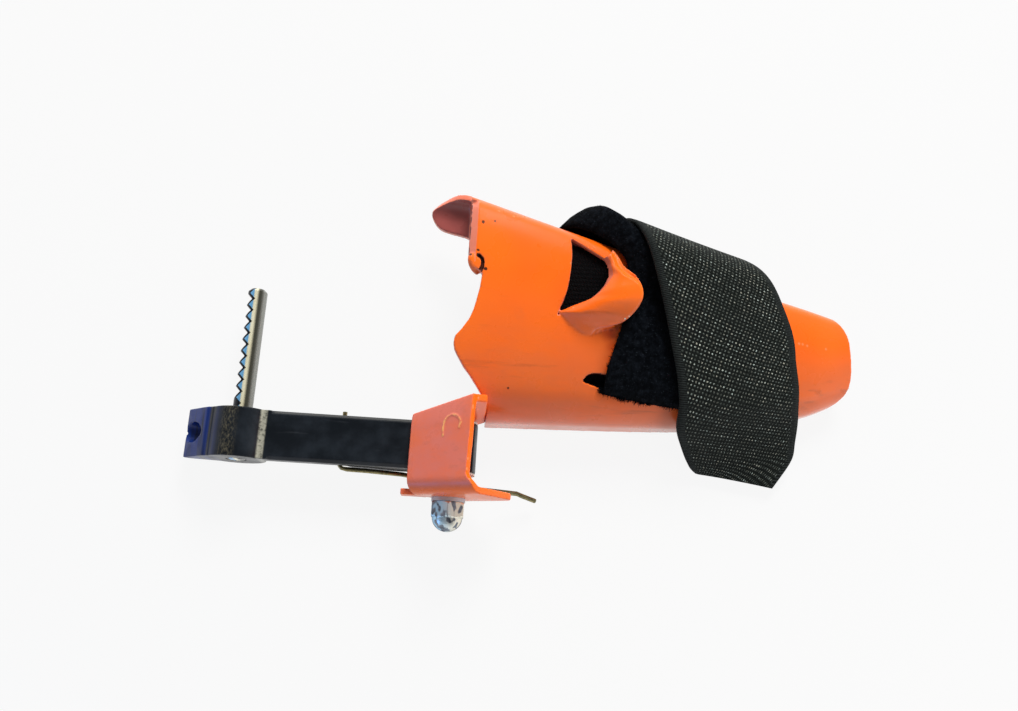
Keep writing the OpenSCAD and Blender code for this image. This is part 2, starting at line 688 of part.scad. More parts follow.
// Turning points of the dive as [near edge, place round the cuff, distance out]
dive_line = [[-0.402, 18.5, inside_out], [-0.392, inside_end, inside_out],
    [-0.353, 23.3, inside_out - 0.6], [-0.294, 27.5, inside_out - 3], [-0.225, 32.5, inside_out - 1],
    [-0.157, 34.8, inside_out - 0.1], [-0.088, 36.7, -sheet / 2 - 2.6], [-0.049, 37.35, -sheet / 2],
    [-0.039, 37, outer_out + 0.6], [-0.039, 36.2, outer_out + 0.6], [-0.039, 34, outer_out + 0.4]];
function dive_pt(i, u) = let (d = dive_line[i]) cuff_at(strap_x(d[0] + u), d[1], d[2]);
function through(a, b, c, d, t) = bez(b, b + (c - a) / 6, c - (d - b) / 6, c, t);
function dive_row(i, t) = [for (u = columns)
    through(dive_pt(i - 1, u), dive_pt(i, u), dive_pt(i + 1, u), dive_pt(i + 2, u), t)];

// Free end: near and far edge points beyond the knee, in shares of the strap's width
free_marks = [
    [[0.618, 0.029, 0.431], [1.667, 0.186, 0.284]],
    [[0.71, -0.108, 0.245], [1.678, 0.029, 0.176]],
    [[0.794, -0.216, 0.127], [1.673, -0.118, 0.098]]];
end_near = [0.869, 0.063];
end_far = [1.52, 0.059];
end_slant = 2.5;
free_end = concat(
    [for (m = free_marks) [for (p = m) [strap_x(p[0]), cuff_y0 + strap_w * p[1], strap_w * p[2]]]],
    [[[strap_x(end_near[0]), cuff_y0 + end_slant - strap_hang, strap_w * end_near[1]],
      [strap_x(end_far[0]), cuff_y0 - end_slant - strap_hang, strap_w * end_far[1]]]]);
function free_row(i) = [for (u = columns) lerp(free_end[i][0], free_end[i][1], u)];

// Thick cloth round rows of middle points
module cloth_solid(rows, t) {
    m = len(rows) - 1;
    c = len(rows[0]) - 1;
    function normal(i, j) = unit(cross(
        rows[min(i + 1, m)][j] - rows[max(i - 1, 0)][j], rows[i][min(j + 1, c)] - rows[i][max(j - 1, 0)]));
    over = [for (i = [0:m]) [for (j = [0:c]) rows[i][j] + normal(i, j) * t / 2]];
    under = [for (i = [0:m]) [for (j = [0:c]) rows[i][j] - normal(i, j) * t / 2]];
    sheet_solid(over, under);
}

seam_k = 12.5;
seam_half = 0.7;
module strap_loop_tape() {
    rows = concat(
        [for (k = [last_k - 0.2, last_k - 1, for (k = [last_k - 2:-1:21]) k, 19.5, 18, 16, 14.3])
            inner_row(k)],
        [for (d = [2.6, 1.3]) slot_row(d)],
        [for (a = [0:36:180]) lip_row(a)],
        [inside_row(11.4), inside_row(seam_k - 0.06)]);
    color(cloth) place() cloth_solid(rows, strap_t);
}

module strap_hook_tape() {
    rows = concat(
        [inside_row(seam_k + 0.06), inside_row(14), inside_row(15.2)],
        [for (k = [16.5, 18, 19.5]) inside_row(k)],
        [for (i = [1:len(dive_line) - 3]) for (t = [0, 0.5]) dive_row(i, t)],
        [for (k = [for (k = [last_k - 1:-1:21]) k, 19.5, 18, 16, 14, 12, 10.5, 9.2])
            outer_row(k)],
        [for (i = [0:len(free_end) - 1]) free_row(i)]);
    color(cloth) place() cloth_solid(rows, strap_t);
}

// Bartacks over the seam between the two tapes, on the side away from the cuff
tack_count = 8;
tack_w = 1.2;
tack_t = 0.5;
tack_gap = 0.2;
module strap_stitching() {
    function tack_pt(i, side, k) =
        let (x = strap_x(follow(inside_edge, seam_k) + (i + 0.5) / tack_count) + side * tack_w)
        cuff_at(x, k, inside_out - strap_t / 2 - tack_t / 2 - tack_gap);
    color(cloth) place() for (i = [0:tack_count - 1])
        cloth_solid([for (k = [seam_k - seam_half, seam_k, seam_k + seam_half])
            [for (side = [-0.5, 0.5]) tack_pt(i, side, k)]], tack_t);
}

cuff_shell();
pivot_bracket();
weld_beads();
pivot_bolt();
pivot_bush();
thrust_washer_upper();
thrust_washer_lower();
lock_washer();
dome_nut();
torsion_spring();
spring_leg();
swing_arm();
toothed_pin();
set_screw();
strap_loop_tape();
strap_hook_tape();
strap_stitching();
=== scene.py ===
"""Rope grab: orange sheet-steel cuff with a hook-and-loop strap and a sprung black arm with a notched post.

All shapes are worked out in millimetres in the working frame (bolt axis at X = 0, arm's middle at Y = 0,
table at Z = 0) and turned into metres in the row frame by metres().
"""
import math

import bmesh
import bpy
import numpy as np
from mathutils import Matrix, Vector
from mathutils.bvhtree import BVHTree


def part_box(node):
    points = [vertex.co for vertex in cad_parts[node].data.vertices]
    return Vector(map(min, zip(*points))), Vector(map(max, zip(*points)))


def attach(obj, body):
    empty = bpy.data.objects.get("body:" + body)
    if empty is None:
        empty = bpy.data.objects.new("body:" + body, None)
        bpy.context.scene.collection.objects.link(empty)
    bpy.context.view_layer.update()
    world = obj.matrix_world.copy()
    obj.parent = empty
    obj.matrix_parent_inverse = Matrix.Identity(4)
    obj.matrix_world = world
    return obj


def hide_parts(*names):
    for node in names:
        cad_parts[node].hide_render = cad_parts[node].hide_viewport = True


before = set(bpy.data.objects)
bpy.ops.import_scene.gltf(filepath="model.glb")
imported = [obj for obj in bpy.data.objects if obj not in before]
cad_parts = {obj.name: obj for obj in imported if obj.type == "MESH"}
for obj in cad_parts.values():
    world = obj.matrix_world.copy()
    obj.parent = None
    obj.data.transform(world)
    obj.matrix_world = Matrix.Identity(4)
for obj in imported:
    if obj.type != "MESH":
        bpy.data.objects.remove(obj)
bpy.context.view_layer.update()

SEED = 7
rng = np.random.default_rng(SEED)
scene = bpy.context.scene
MM = 0.001

# ---- working frame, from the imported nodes
bolt_lo, bolt_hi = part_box("pivot_bolt")
arm_lo, arm_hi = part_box("swing_arm")
shell_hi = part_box("cuff_shell")[1]
pin_lo, pin_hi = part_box("toothed_pin")
OFF_X = (bolt_lo.x + bolt_hi.x) / 2
OFF_Y = (arm_lo.y + arm_hi.y) / 2
AXIS_Z = (bolt_lo.z + bolt_hi.z) / 2 / MM
CUFF_REACH = (shell_hi.x - OFF_X) / MM
ARM_LEN = (OFF_X - (pin_lo.x + pin_hi.x) / 2) / MM
PIN_R = (pin_hi.x - pin_lo.x) / 2
TOOTH_PITCH, TOOTH_DEPTH = 5 * MM, 2.8 * MM
TOOTH_Y = pin_hi.y - TOOTH_PITCH


def metres(points):
    """Working-frame millimetres to row-frame metres."""
    return np.asarray(points, float) * MM + [OFF_X, OFF_Y, 0.0]


def add_object(name, data):
    obj = bpy.data.objects.new(name, data)
    scene.collection.objects.link(obj)
    return obj


# ---- camera
CAM_AZ, CAM_EL, CAM_ROLL = 9.799, 75.06, 13.38
CAM_POS = (4.77, -54.8, 378.3)
FOCAL_PX, IMAGE_W, SENSOR = 888.3, 1018, 36.0
CLIP_NEAR, CLIP_FAR = 0.01, 60


def make_camera():
    az, el, roll = (math.radians(v) for v in (CAM_AZ, CAM_EL, CAM_ROLL))
    forward = Vector((math.sin(az) * math.cos(el), math.cos(az) * math.cos(el), -math.sin(el)))
    right0 = Vector((math.cos(az), -math.sin(az), 0))
    up0 = right0.cross(forward)
    right = right0 * math.cos(roll) + up0 * math.sin(roll)
    up = up0 * math.cos(roll) - right0 * math.sin(roll)
    data = bpy.data.cameras.new("camera")
    data.sensor_fit = "HORIZONTAL"
    data.sensor_width = SENSOR
    data.lens = FOCAL_PX / IMAGE_W * SENSOR
    data.clip_start, data.clip_end = CLIP_NEAR, CLIP_FAR
    camera = add_object("camera", data)
    axes = Matrix((right, up, -forward)).transposed().to_4x4()
    axes.translation = metres(CAM_POS)
    camera.matrix_world = axes
    scene.camera = camera


# ---- the cuff's surface
CUFF_X0, CUFF_Y0 = -6.0, 11.0
CUFF_W, CUFF_END_W = 94.5, 33.0
CUFF_H, CUFF_END_H = 41.0, 19.0
SHEET, ROLL_R, FLANGE_W = 2.8, 9.5, 15.0
KNEE_R, KNEE_Z = 0.51, 0.27
KNEE_END, ROLL_START, ROLL_END, ROLL_Z = 112.0, 80.0, -85.0, 0.68
# places round the cuff: straight side, knee, crest, rolled edge and flange begin at these
K_KNEE, K_CREST, K_ROLL, K_FLANGE, K_END = 3, 10, 22, 34, 36
KNEE_PULL, ROLL_PULL = 0.42, 0.48
STATION = np.array([0, 0.61, 0.89, 1.0])
LOW = np.array([0, 0.07, 0.215, 0.345])
UP = np.array([-0.03, 0.43, 0.585, 0.655])
DROP = np.array([0, 0.4, 0.8, 1.0])


def lerp(a, b, t):
    return a + (b - a) * t


def smooth(t):
    t = np.clip(t, 0, 1)
    return t * t * (3 - 2 * t)


def monotone(xs, ys, x):
    """Smooth curve through (xs, ys) that doesn't overshoot, straight outside them."""
    h = np.diff(xs)
    d = np.diff(ys) / h
    inner = np.where(d[:-1] * d[1:] > 0, 2 * d[:-1] * d[1:] / (d[:-1] + d[1:] + 1e-12), 0)
    m = np.concatenate([[d[0]], inner, [d[-1]]])
    x = np.asarray(x, float)
    i = np.clip(np.searchsorted(xs, x) - 1, 0, len(h) - 1)
    t = (x - xs[i]) / h[i]
    low, high = t < 0, t > 1
    t = np.clip(t, 0, 1)
    y = (ys[i] * (1 + 2 * t) * (1 - t) ** 2 + h[i] * m[i] * t * (1 - t) ** 2
         + ys[i + 1] * t * t * (3 - 2 * t) - h[i] * m[i + 1] * t * t * (1 - t))
    y = np.where(low, ys[0] + m[0] * (x - xs[0]), y)
    return np.where(high, ys[-1] + m[-1] * (x - xs[-1]), y)


def follow(table, k):
    """Value at k from a smooth curve through a table of (k, value), held at its ends."""
    ks, vs = np.array(table, float).T
    return monotone(ks, vs, np.clip(np.asarray(k, float), ks[0], ks[-1]))


def polar(r, degrees):
    a = np.radians(degrees)
    return r * np.cos(a), r * np.sin(a)


def unit(v):
    """The vectors along the last axis at length 1."""
    return v / np.linalg.norm(v, axis=-1, keepdims=True)


def cuff_at(x, k, out=0.0):
    """Point k of the cuff's outer face at x, moved out along its normal; arrays broadcast."""
    x, k, out = np.broadcast_arrays(np.asarray(x, float), np.asarray(k, float), np.asarray(out, float))
    share = (x - CUFF_X0) / (CUFF_REACH - CUFF_X0)
    narrow = CUFF_W - CUFF_END_W
    h = CUFF_H - (CUFF_H - CUFF_END_H) * monotone(STATION, DROP, share)
    yl = CUFF_Y0 + narrow * monotone(STATION, LOW, share)
    yu = CUFF_Y0 + CUFF_W - narrow * monotone(STATION, UP, share)
    scale = h / CUFF_H
    kr, kz, rb = KNEE_R * h, KNEE_Z * h, ROLL_R * scale
    kcy, kcz, rcy, rcz = yl + kr, kz, yu - rb, ROLL_Z * h
    y, z = np.array(yl), kz * k / K_KNEE
    ny, nz = -np.ones_like(y), np.zeros_like(y)

    def fill(low, high, at_y, at_z, out_y, out_z):
        nonlocal y, z, ny, nz
        m = (k > low) & (k <= high)
        y, z = np.where(m, at_y, y), np.where(m, at_z, z)
        ny, nz = np.where(m, out_y, ny), np.where(m, out_z, nz)

    # knee arc
    cy, cz = polar(1, lerp(180, KNEE_END, (k - K_KNEE) / (K_CREST - K_KNEE)))
    fill(K_KNEE, K_CREST, kcy + kr * cy, kcz + kr * cz, cy, cz)
    # crest: a cubic curve from the knee to the roll
    t = (k - K_CREST) / (K_ROLL - K_CREST)
    weights = [(1 - t) ** 3, 3 * t * (1 - t) ** 2, 3 * t * t * (1 - t), t ** 3]

    def cubic(start, start_way, end, end_way):
        p = [start, start + KNEE_PULL * h * start_way, end - ROLL_PULL * h * end_way, end]
        slope = (p[1] - p[0]) * (1 - t) ** 2 + (p[2] - p[1]) * 2 * t * (1 - t) + (p[3] - p[2]) * t * t
        return sum(w * q for w, q in zip(weights, p)), slope

    ky, kz1 = polar(1, KNEE_END)
    ry, rz = polar(1, ROLL_START)
    (by, dy), (bz, dz) = (cubic(*ends) for ends in zip(
        (kcy + kr * ky, kcz + kr * kz1), polar(1, KNEE_END - 90),
        (rcy + rb * ry, rcz + rb * rz), polar(1, ROLL_START - 90)))
    dl = np.sqrt(dy * dy + dz * dz) + 1e-9
    fill(K_CREST, K_ROLL, by, bz, -dz / dl, dy / dl)
    # rolled edge
    cy, cz = polar(1, lerp(ROLL_START, ROLL_END, (k - K_ROLL) / (K_FLANGE - K_ROLL)))
    fill(K_ROLL, K_FLANGE, rcy + rb * cy, rcz + rb * cz, cy, cz)
    # flange
    ey, ez = polar(1, ROLL_END)
    fy, fz = polar(1, ROLL_END - 90)
    run = FLANGE_W * scale * (k - K_FLANGE) / (K_END - K_FLANGE)
    fill(K_FLANGE, np.inf, rcy + rb * ey + fy * run, rcz + rb * ez + fz * run, ey, ez)
    return np.stack([x, y + ny * out, z + nz * out], -1)


# ---- mesh helpers
# what a face comes from is kept as its material slot while the mesh is cut, then as a vertex attribute
RIM, INNER, SHADED, PALE = 1, 2, 3, 4
FACE_KINDS = ("rim", "inner", "shaded", "pale")


def mesh_object(name, verts, faces):
    """New smooth object from working-frame points."""
    mesh = bpy.data.meshes.new(name)
    mesh.from_pydata([tuple(p) for p in metres(verts)], [], [tuple(int(v) for v in f) for f in faces])
    mesh.update()
    mesh.polygons.foreach_set("use_smooth", [True] * len(mesh.polygons))
    return add_object(name, mesh)


def ring_faces(rings, sides, base=0):
    """Quads that join each ring of points to the next."""
    return [(base + i * sides + j, base + i * sides + (j + 1) % sides,
             base + (i + 1) * sides + (j + 1) % sides, base + (i + 1) * sides + j)
            for i in range(rings - 1) for j in range(sides)]


def pipe_faces(rings, sides):
    """Ring faces with a cap at both ends."""
    caps = [list(range(sides))[::-1], list(range((rings - 1) * sides, rings * sides))]
    return ring_faces(rings, sides) + caps


def mark_slots(obj, index=0):
    """Empty material slots, so that rim, inner, shaded and pale faces can be told from the rest."""
    while len(obj.data.materials) <= len(FACE_KINDS):
        obj.data.materials.append(None)
    for face in obj.data.polygons:
        face.material_index = index


def keep_kinds(obj, source):
    """One vertex attribute for each kind of face: 1 where the nearest face of the source is of it."""
    tree = BVHTree.FromPolygons([v.co for v in source.vertices], [p.vertices for p in source.polygons])
    kind = np.array([source.polygons[tree.find_nearest(v.co)[2]].material_index
                     for v in obj.data.vertices])
    for index, name in enumerate(FACE_KINDS, 1):
        values = (kind == index).astype(float)
        obj.data.attributes.new(name, "FLOAT", "POINT").data.foreach_set("value", values)


def closed(name, verts, faces):
    """Mesh object whose faces all look outward."""
    obj = mesh_object(name, verts, faces)
    bm = bmesh.new()
    bm.from_mesh(obj.data)
    bmesh.ops.recalc_face_normals(bm, faces=bm.faces)
    bm.to_mesh(obj.data)
    bm.free()
    return obj


def slab(name, over, under, with_kinds=False):
    """Closed sheet between two grids of points; its rim and under side can be marked."""
    rows, cols = over.shape[:2]
    m = rows * cols
    grid = np.arange(m).reshape(rows, cols)
    quads = np.stack([grid[:-1, :-1], grid[:-1, 1:], grid[1:, 1:], grid[1:, :-1]], -1).reshape(-1, 4)
    rim = [*grid[::-1, 0], *grid[0, 1:], *grid[1:, -1], *grid[-1, -2:0:-1]]
    faces = [*quads, *(quads + m)[:, ::-1], *((b, a, a + m, b + m) for a, b in zip(rim, rim[1:] + rim[:1]))]
    obj = closed(name, np.concatenate([over.reshape(-1, 3), under.reshape(-1, 3)]), faces)
    if with_kinds:
        mark_slots(obj)
        for face in obj.data.polygons[len(quads):]:
            face.material_index = INNER if face.index < 2 * len(quads) else RIM
    return obj


def prism(name, outline, low, high):
    """Upright prism over a plan outline."""
    n = len(outline)
    verts = [(x, y, z) for z in (low, high) for x, y in outline]
    return closed(name, verts, [list(range(n))[::-1], list(range(n, 2 * n))] + ring_faces(2, n))


def settle(obj):
    """Turns the object's modifiers into its mesh."""
    graph = bpy.context.evaluated_depsgraph_get()
    mesh = bpy.data.meshes.new_from_object(obj.evaluated_get(graph))
    obj.modifiers.clear()
    obj.data = mesh
    return obj


def discard(obj):
    bpy.data.objects.remove(obj, do_unlink=True)


def carve(obj, tool, kind=RIM):
    """Cuts the tool out of the object; the faces that it leaves are of this kind."""
    mark_slots(tool, kind)
    mod = obj.modifiers.new("carve", "BOOLEAN")
    mod.operation = "DIFFERENCE"
    mod.solver = "EXACT"
    mod.object = tool
    settle(obj)
    discard(tool)


def join(target, *others):
    """Adds the other objects' meshes to the target's."""
    bm = bmesh.new()
    bm.from_mesh(target.data)
    for o in others:
        bm.from_mesh(o.data)
        discard(o)
    bm.to_mesh(target.data)
    bm.free()


def voxel(obj, size_mm, smoothing=3, factor=0.5):
    """Modifiers that remesh a closed mesh evenly and soften its edges."""
    mod = obj.modifiers.new("voxels", "REMESH")
    mod.mode = "VOXEL"
    mod.voxel_size = size_mm * MM
    mod.use_smooth_shade = True
    if smoothing:
        soft = obj.modifiers.new("soften", "SMOOTH")
        soft.factor, soft.iterations = factor, smoothing


def spline_points(points, steps):
    """Catmull-Rom curve through the points, ends included."""
    p = np.asarray(points, float)
    p = np.concatenate([[2 * p[0] - p[1]], p, [2 * p[-1] - p[-2]]])
    out = []
    for i in range(1, len(p) - 2):
        for t in np.arange(steps) / steps:
            a, b, c, d = p[i - 1:i + 3]
            out.append(0.5 * ((2 * b) + (c - a) * t + (2 * a - 5 * b + 4 * c - d) * t * t
                              + (3 * b - a - 3 * c + d) * t ** 3))
    out.append(p[-2])
    return np.array(out)


def tube(name, points, diameter, sides=16, taper=None):
    """Closed round tube along the points."""
    p = np.asarray(points, float)
    n = len(p)
    t = unit(np.gradient(p, axis=0))
    u = np.cross(t[0], [0.3, 0.9, 0.2])
    ang = np.linspace(0, 2 * np.pi, sides, endpoint=False)
    rings = []
    for i in range(n):
        u = unit(u - t[i] * (u @ t[i]))
        v = np.cross(t[i], u)
        r = diameter / 2 * (1 if taper is None else taper[i])
        rings.append(p[i] + r * (np.outer(np.cos(ang), u) + np.outer(np.sin(ang), v)))
    return mesh_object(name, np.concatenate(rings), pipe_faces(n, sides))


# ---- cuff
# plan outlines that are cut out of the cuff, and the span of places k whose edge is bevelled
MOUTH = [(13, -5), (13, 16), (12.4, 18), (10.2, 20.7), (7.9, 23.8), (5.1, 27.4), (2.3, 30.6),
         (-0.4, 34.7), (-1.7, 37), (-2.2, 39.4), (-1.9, 42.2), (1.0, 45.9), (3.6, 50), (5.0, 54),
         (5.9, 58), (6.8, 62.6), (7.2, 66), (7.4, 68.6), (6.4, 69.9), (4.4, 70.8), (2.6, 72.6),
         (1.4, 74.6), (1.5, 78), (1.1, 84), (1, 200), (-60, 200), (-60, -5)]
WINDOW = [(43.4, 88.4), (44.1, 85), (44.3, 80), (44.1, 75), (43.6, 70), (42.8, 65), (41.5, 60.4),
          (39.5, 55.6), (39.0, 54.3), (42, 53.4), (48, 53.2), (54, 53.6), (61, 54.6), (66.5, 57.5),
          (69, 62), (68.5, 68), (66, 73.5), (62, 77.6), (57, 80.7), (52, 83.5), (47, 86.4)]
BEVEL_K = (17.9, 24.6)
SLOT_EDGE = 60.0
STRAP_W, STRAP_T, STRAP_GAP = 51.0, 2.0, 0.35
INNER_OUT = STRAP_GAP + STRAP_T / 2
OUTER_OUT = INNER_OUT + STRAP_T + STRAP_GAP
INSIDE_OUT = -SHEET - INNER_OUT
LIP_R = SHEET / 2 + INNER_OUT
# how far the slot opens downward at each x
SLOT_OPEN = [(57, 0.6), (58.6, 0.8), (62, 1.55), (69, 2.3), (76, 2.6), (84, 2.4), (114, 2.2)]
SLOT_TIP = 8.6
TIP_CUT = [(51.2, 28.6), (52.3, 30.3), (53.6, 31.3), (55.3, 31.9), (58.1, 31.8), (60.6, 31.6),
           (63, 29), (62, 25.5), (58.6, 26.5), (54.3, 27.6)]
END_CUT = [(140, 100), (155.5, 73), (159.2, 68.6), (163, 64.8), (165.4, 61.8), (166.9, 58.9),
           (167.7, 56.1), (168.4, 50), (CUFF_REACH, 44), (CUFF_REACH, 39.6), (168.6, 36.8),
           (167.4, 33.9), (164.8, 31), (160, 27.6), (150, 22), (150, -40), (200, -40), (200, 160),
           (140, 160)]
GAP = [(4.6, 77.0), (6.2, 76.6), (7.6, 75.2), (8.1, 73.4), (7.8, 71.4), (7.3, 69.2), (6.0, 70.4),
       (6.8, 72.0), (6.9, 73.6), (6.3, 75.0), (5.2, 75.7)]
# the bevel's section: (x, out from the sheet)
BEVEL = ((0.6, -3.3), (4.6, 0.2), (5.0, 2.5), (-6, 2.5), (-6, -3.3))


def slot_k(x):
    """Place round the cuff of the slot at x."""
    return lerp(10.63, 8.66, (np.asarray(x, float) - SLOT_EDGE) / STRAP_W)


def slot_tool():
    """Curved bar that cuts the strap's slot, pointed at its ends."""
    xs = np.linspace(SLOT_EDGE - 2.2, SLOT_EDGE + STRAP_W + 3, 40)
    k = slot_k(xs)
    mid, face = cuff_at(xs, k, -SHEET / 2), cuff_at(xs, k)
    normal = cuff_at(xs, k, 1) - face
    down = cuff_at(xs, k - 0.5) - face
    down = unit(down - normal * np.sum(down * normal, 1)[:, None])
    wide = np.interp(xs, *np.transpose(SLOT_OPEN)) * np.sqrt(np.clip((xs[-1] - xs) / 3, 0.004, 1))
    n, d = normal * 6, down * wide[:, None]
    verts = np.stack([mid + n, mid + d + n, mid + d - n, mid - n], 1).reshape(-1, 3)
    last = len(verts) - 1
    caps = [(0, 1, 2, 3), (last, last - 1, last - 2, last - 3)]
    return closed("slot_tool", verts, ring_faces(len(xs), 4) + caps)


def cuff_blank():
    xs = np.linspace(CUFF_X0, CUFF_REACH + 2, 120)
    spans = ((0, K_KNEE, 8), (K_KNEE, K_CREST, 26), (K_CREST, K_ROLL, 44), (K_ROLL, K_FLANGE, 36))
    ks = np.concatenate([np.linspace(*span)[:-1] for span in spans] + [np.linspace(K_FLANGE, K_END, 10)])
    gx, gk = np.meshgrid(xs, ks, indexing="ij")
    return slab("cuff_body", cuff_at(gx, gk), cuff_at(gx, gk, -SHEET), True)


def bevel_tool():
    """Bar that leans the sheet's cut edge between the tongue and the notch."""
    ks = np.linspace(*BEVEL_K, 40)
    rows = np.stack([cuff_at(x, ks, out) for x, out in BEVEL], 1)
    n, m = rows.shape[:2]
    caps = [tuple(range(m)), tuple(range((n - 1) * m, n * m))[::-1]]
    return closed("bevel_tool", rows.reshape(-1, 3), ring_faces(n, m) + caps)


# along the tongue: (x, radius, shift across, height of the arc's centre)
TONGUE_LINE = [(-16.5, ROLL_R + 2, 1, 26.5), (-8, ROLL_R + 1.6, 0.7, 26.9), (0, ROLL_R + 1, 0.2, 27.2),
               (4.8, ROLL_R + 0.3, -1.8, 27.1), (10, ROLL_R + 0.1, -3.3, 26.9), (15, ROLL_R, -4.7, 26.7)]
# its free edge: (degrees below level, x), and along the flat (millimetres past the arc, x)
TONGUE_ARC = [(2, 6), (4, 4), (5.4, 1.5), (7, -1.6), (12.7, -4.6), (23.8, -7.4), (35.7, -10.2),
              (44, -12.2), (52, -13.9), (59, -15.2), (66, -15.8), (74, -15.8), (81, -15.4), (88, -14.8)]
TONGUE_FLAT = [(0.8, -14.3), (2.2, -13.3), (3.6, -11.6), (4.6, -9.2), (5.3, -6), (6, -2.2), (6.8, 1.9)]
TONGUE_INTO = 14.0
FLAT_FALL = 0.04


def tongue():
    """The rolled edge carried past the mouth and opened into a lip."""
    line = np.array(TONGUE_LINE)
    cy = CUFF_Y0 + CUFF_W + (CUFF_W - CUFF_END_W) * 0.03 - ROLL_R - 0.9
    arc, flat = np.array(TONGUE_ARC, float), np.array(TONGUE_FLAT, float)
    angles = np.linspace(arc[0, 0], arc[-1, 0], 60)
    edge = [(a, 0.0, x) for a, x in zip(angles, monotone(arc[:, 0], arc[:, 1], angles))]
    runs = np.linspace(0, flat[-1, 0], 16)[1:]
    ends = np.interp(runs, np.append(0, flat[:, 0]), np.append(arc[-1, 1], flat[:, 1]))
    edge += [(arc[-1, 0], run, x) for run, x in zip(runs, ends)]

    def face(inset):
        rows = []
        for a, run, x0 in edge:
            xs = lerp(x0, TONGUE_INTO, np.linspace(0, 1, 44) ** 1.4)
            r, shift, cz = (monotone(line[:, 0], line[:, c], xs) for c in (1, 2, 3))
            c, s = polar(1, -a)
            rows.append(np.stack([xs, cy + shift + (r - inset) * c - run,
                                  cz + (r - inset) * s - FLAT_FALL * run], -1))
        return np.array(rows)

    return slab("tongue", face(0), face(SHEET), True)


# rows over the ear: (window side), (far side), how far it swells, (outer strip's edge),
# width of the window's rim
EAR = [((56.8, 79.9, 36.0), (59.7, 80.5, 38.5), 0.0, (60.9, 83.8, 36.0), 1.8),
       ((58.3, 77.5, 36.5), (60.9, 77.0, 39.5), 0.1, (63.5, 79.9, 37.0), 2.0),
       ((58.9, 74.3, 38.0), (61.9, 73.3, 41.5), 0.2, (65.2, 75.9, 38.7), 2.1),
       ((58.9, 71.1, 39.0), (65.6, 69.8, 43.0), 0.6, (67.8, 73.0, 40.8), 1.9),
       ((56.7, 66.3, 39.5), (69.4, 67.9, 43.6), 1.0, (70.2, 70.3, 42.2), 1.4),
       ((54.3, 63.3, 39.5), (71.2, 65.6, 44.0), 1.2, (72.0, 66.4, 43.2), 1.2),
       ((51.7, 61.1, 38.5), (71.9, 62.3, 44.0), 1.6, (72.7, 62.3, 43.1), 1.1),
       ((47.8, 59.4, 37.0), (70.9, 59.1, 43.5), 2.2, (71.6, 58.6, 42.6), 1.0),
       ((44.4, 58.3, 35.5), (68.7, 55.9, 42.0), 2.7, (69.2, 55.1, 41.0), 1.0),
       ((41.6, 56.9, 34.7), (65.9, 53.3, 40.0), 3.0, (66.3, 52.5, 39.0), 0.8),
       ((39.3, 55.6, 34.3), (63.2, 52.1, 38.2), 2.8, (63.4, 51.3, 37.2), 0.5),
       ((40.9, 53.8, 34.1), (59.1, 51.4, 37.2), 1.7, (59.2, 50.4, 36.0), 0.2),
       ((44.7, 50.3, 33.6), (55.3, 50.6, 35.4), 0.9, (55.5, 49.7, 34.4), 0.1),
       ((49.0, 47.5, 32.9), (52.9, 48.0, 33.6), 0.3, (53.3, 47.4, 33.0), 0.0),
       ((51.7, 46.4, 32.3), (52.3, 46.3, 32.3), 0.0, (52.5, 46.1, 32.1), 0.0)]
EAR_STEPS = 6
EAR_GROOVE = [(0, 0.9), (2, 1.6), (4, 1.8), (5, 0.5), (6, 0), (14, 0)]


def ear():
    """The sheet pressed out past the window into a rounded lobe."""
    near, far, strip = (spline_points([row[i] for row in EAR], EAR_STEPS) for i in (0, 1, 3))
    at = np.arange(len(near)) / EAR_STEPS
    swell, rim = (np.interp(at, np.arange(len(EAR)), [row[i] for row in EAR]) for i in (2, 4))
    groove = follow(EAR_GROOVE, at)
    u = np.linspace(0, 1, 22)
    hump = np.sin(np.pi * u ** 0.8) ** 1.2
    over, under = [], []
    for i in range(len(near)):
        across = far[i] - near[i]
        start = near[i] + across * min(0.8, rim[i] / np.linalg.norm(across))
        row = lerp(start, far[i], u[:, None]) + np.array([0, 0, 1.0]) * (swell[i] * hump)[:, None]
        tail = [lerp(far[i], strip[i], t) - np.array([0, 0, groove[i] * math.sin(math.pi * t)])
                for t in (0.3, 0.55, 0.8, 1)]
        over.append(np.concatenate([row, tail]))
        low = over[-1].copy()
        low[0] = near[i]
        low[:, 2] -= SHEET - 0.3
        under.append(low)
    return slab("ear", np.array(over), np.array(under), True)


# wires of metal that are melted into the cuff by the remesh, and the fold's taper at its points
CURL = [(2.9, 76.4, 36.2), (2.6, 75.2, 36.9), (2.7, 73.6, 36.9), (3.4, 71.9, 36.2), (4.6, 70.7, 35.0),
        (5.8, 70.2, 33.6)]
FOLD = [(52.2, 46.4, 31.9), (54.3, 48.0, 32.4), (56.5, 49.7, 32.9), (59.5, 50.8, 33.2), (63, 51.8, 33.2)]
FOLD_TAPER = ((0, 6, 12, 16), (0.25, 0.9, 1, 0.7))
CURL_W, FOLD_W = 2.9, 1.9


def stand_in(obj, node, body):
    """The piece replaces the node and rides on the body."""
    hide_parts(node)
    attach(obj, body)
    return obj


def remeshed(obj, size_mm, smoothing, factor=0.5):
    """Even small faces all over, with the kinds of the faces that they come from."""
    source = obj.data.copy()
    obj.data.materials.clear()
    voxel(obj, size_mm, smoothing, factor)
    settle(obj)
    keep_kinds(obj, source)
    return obj


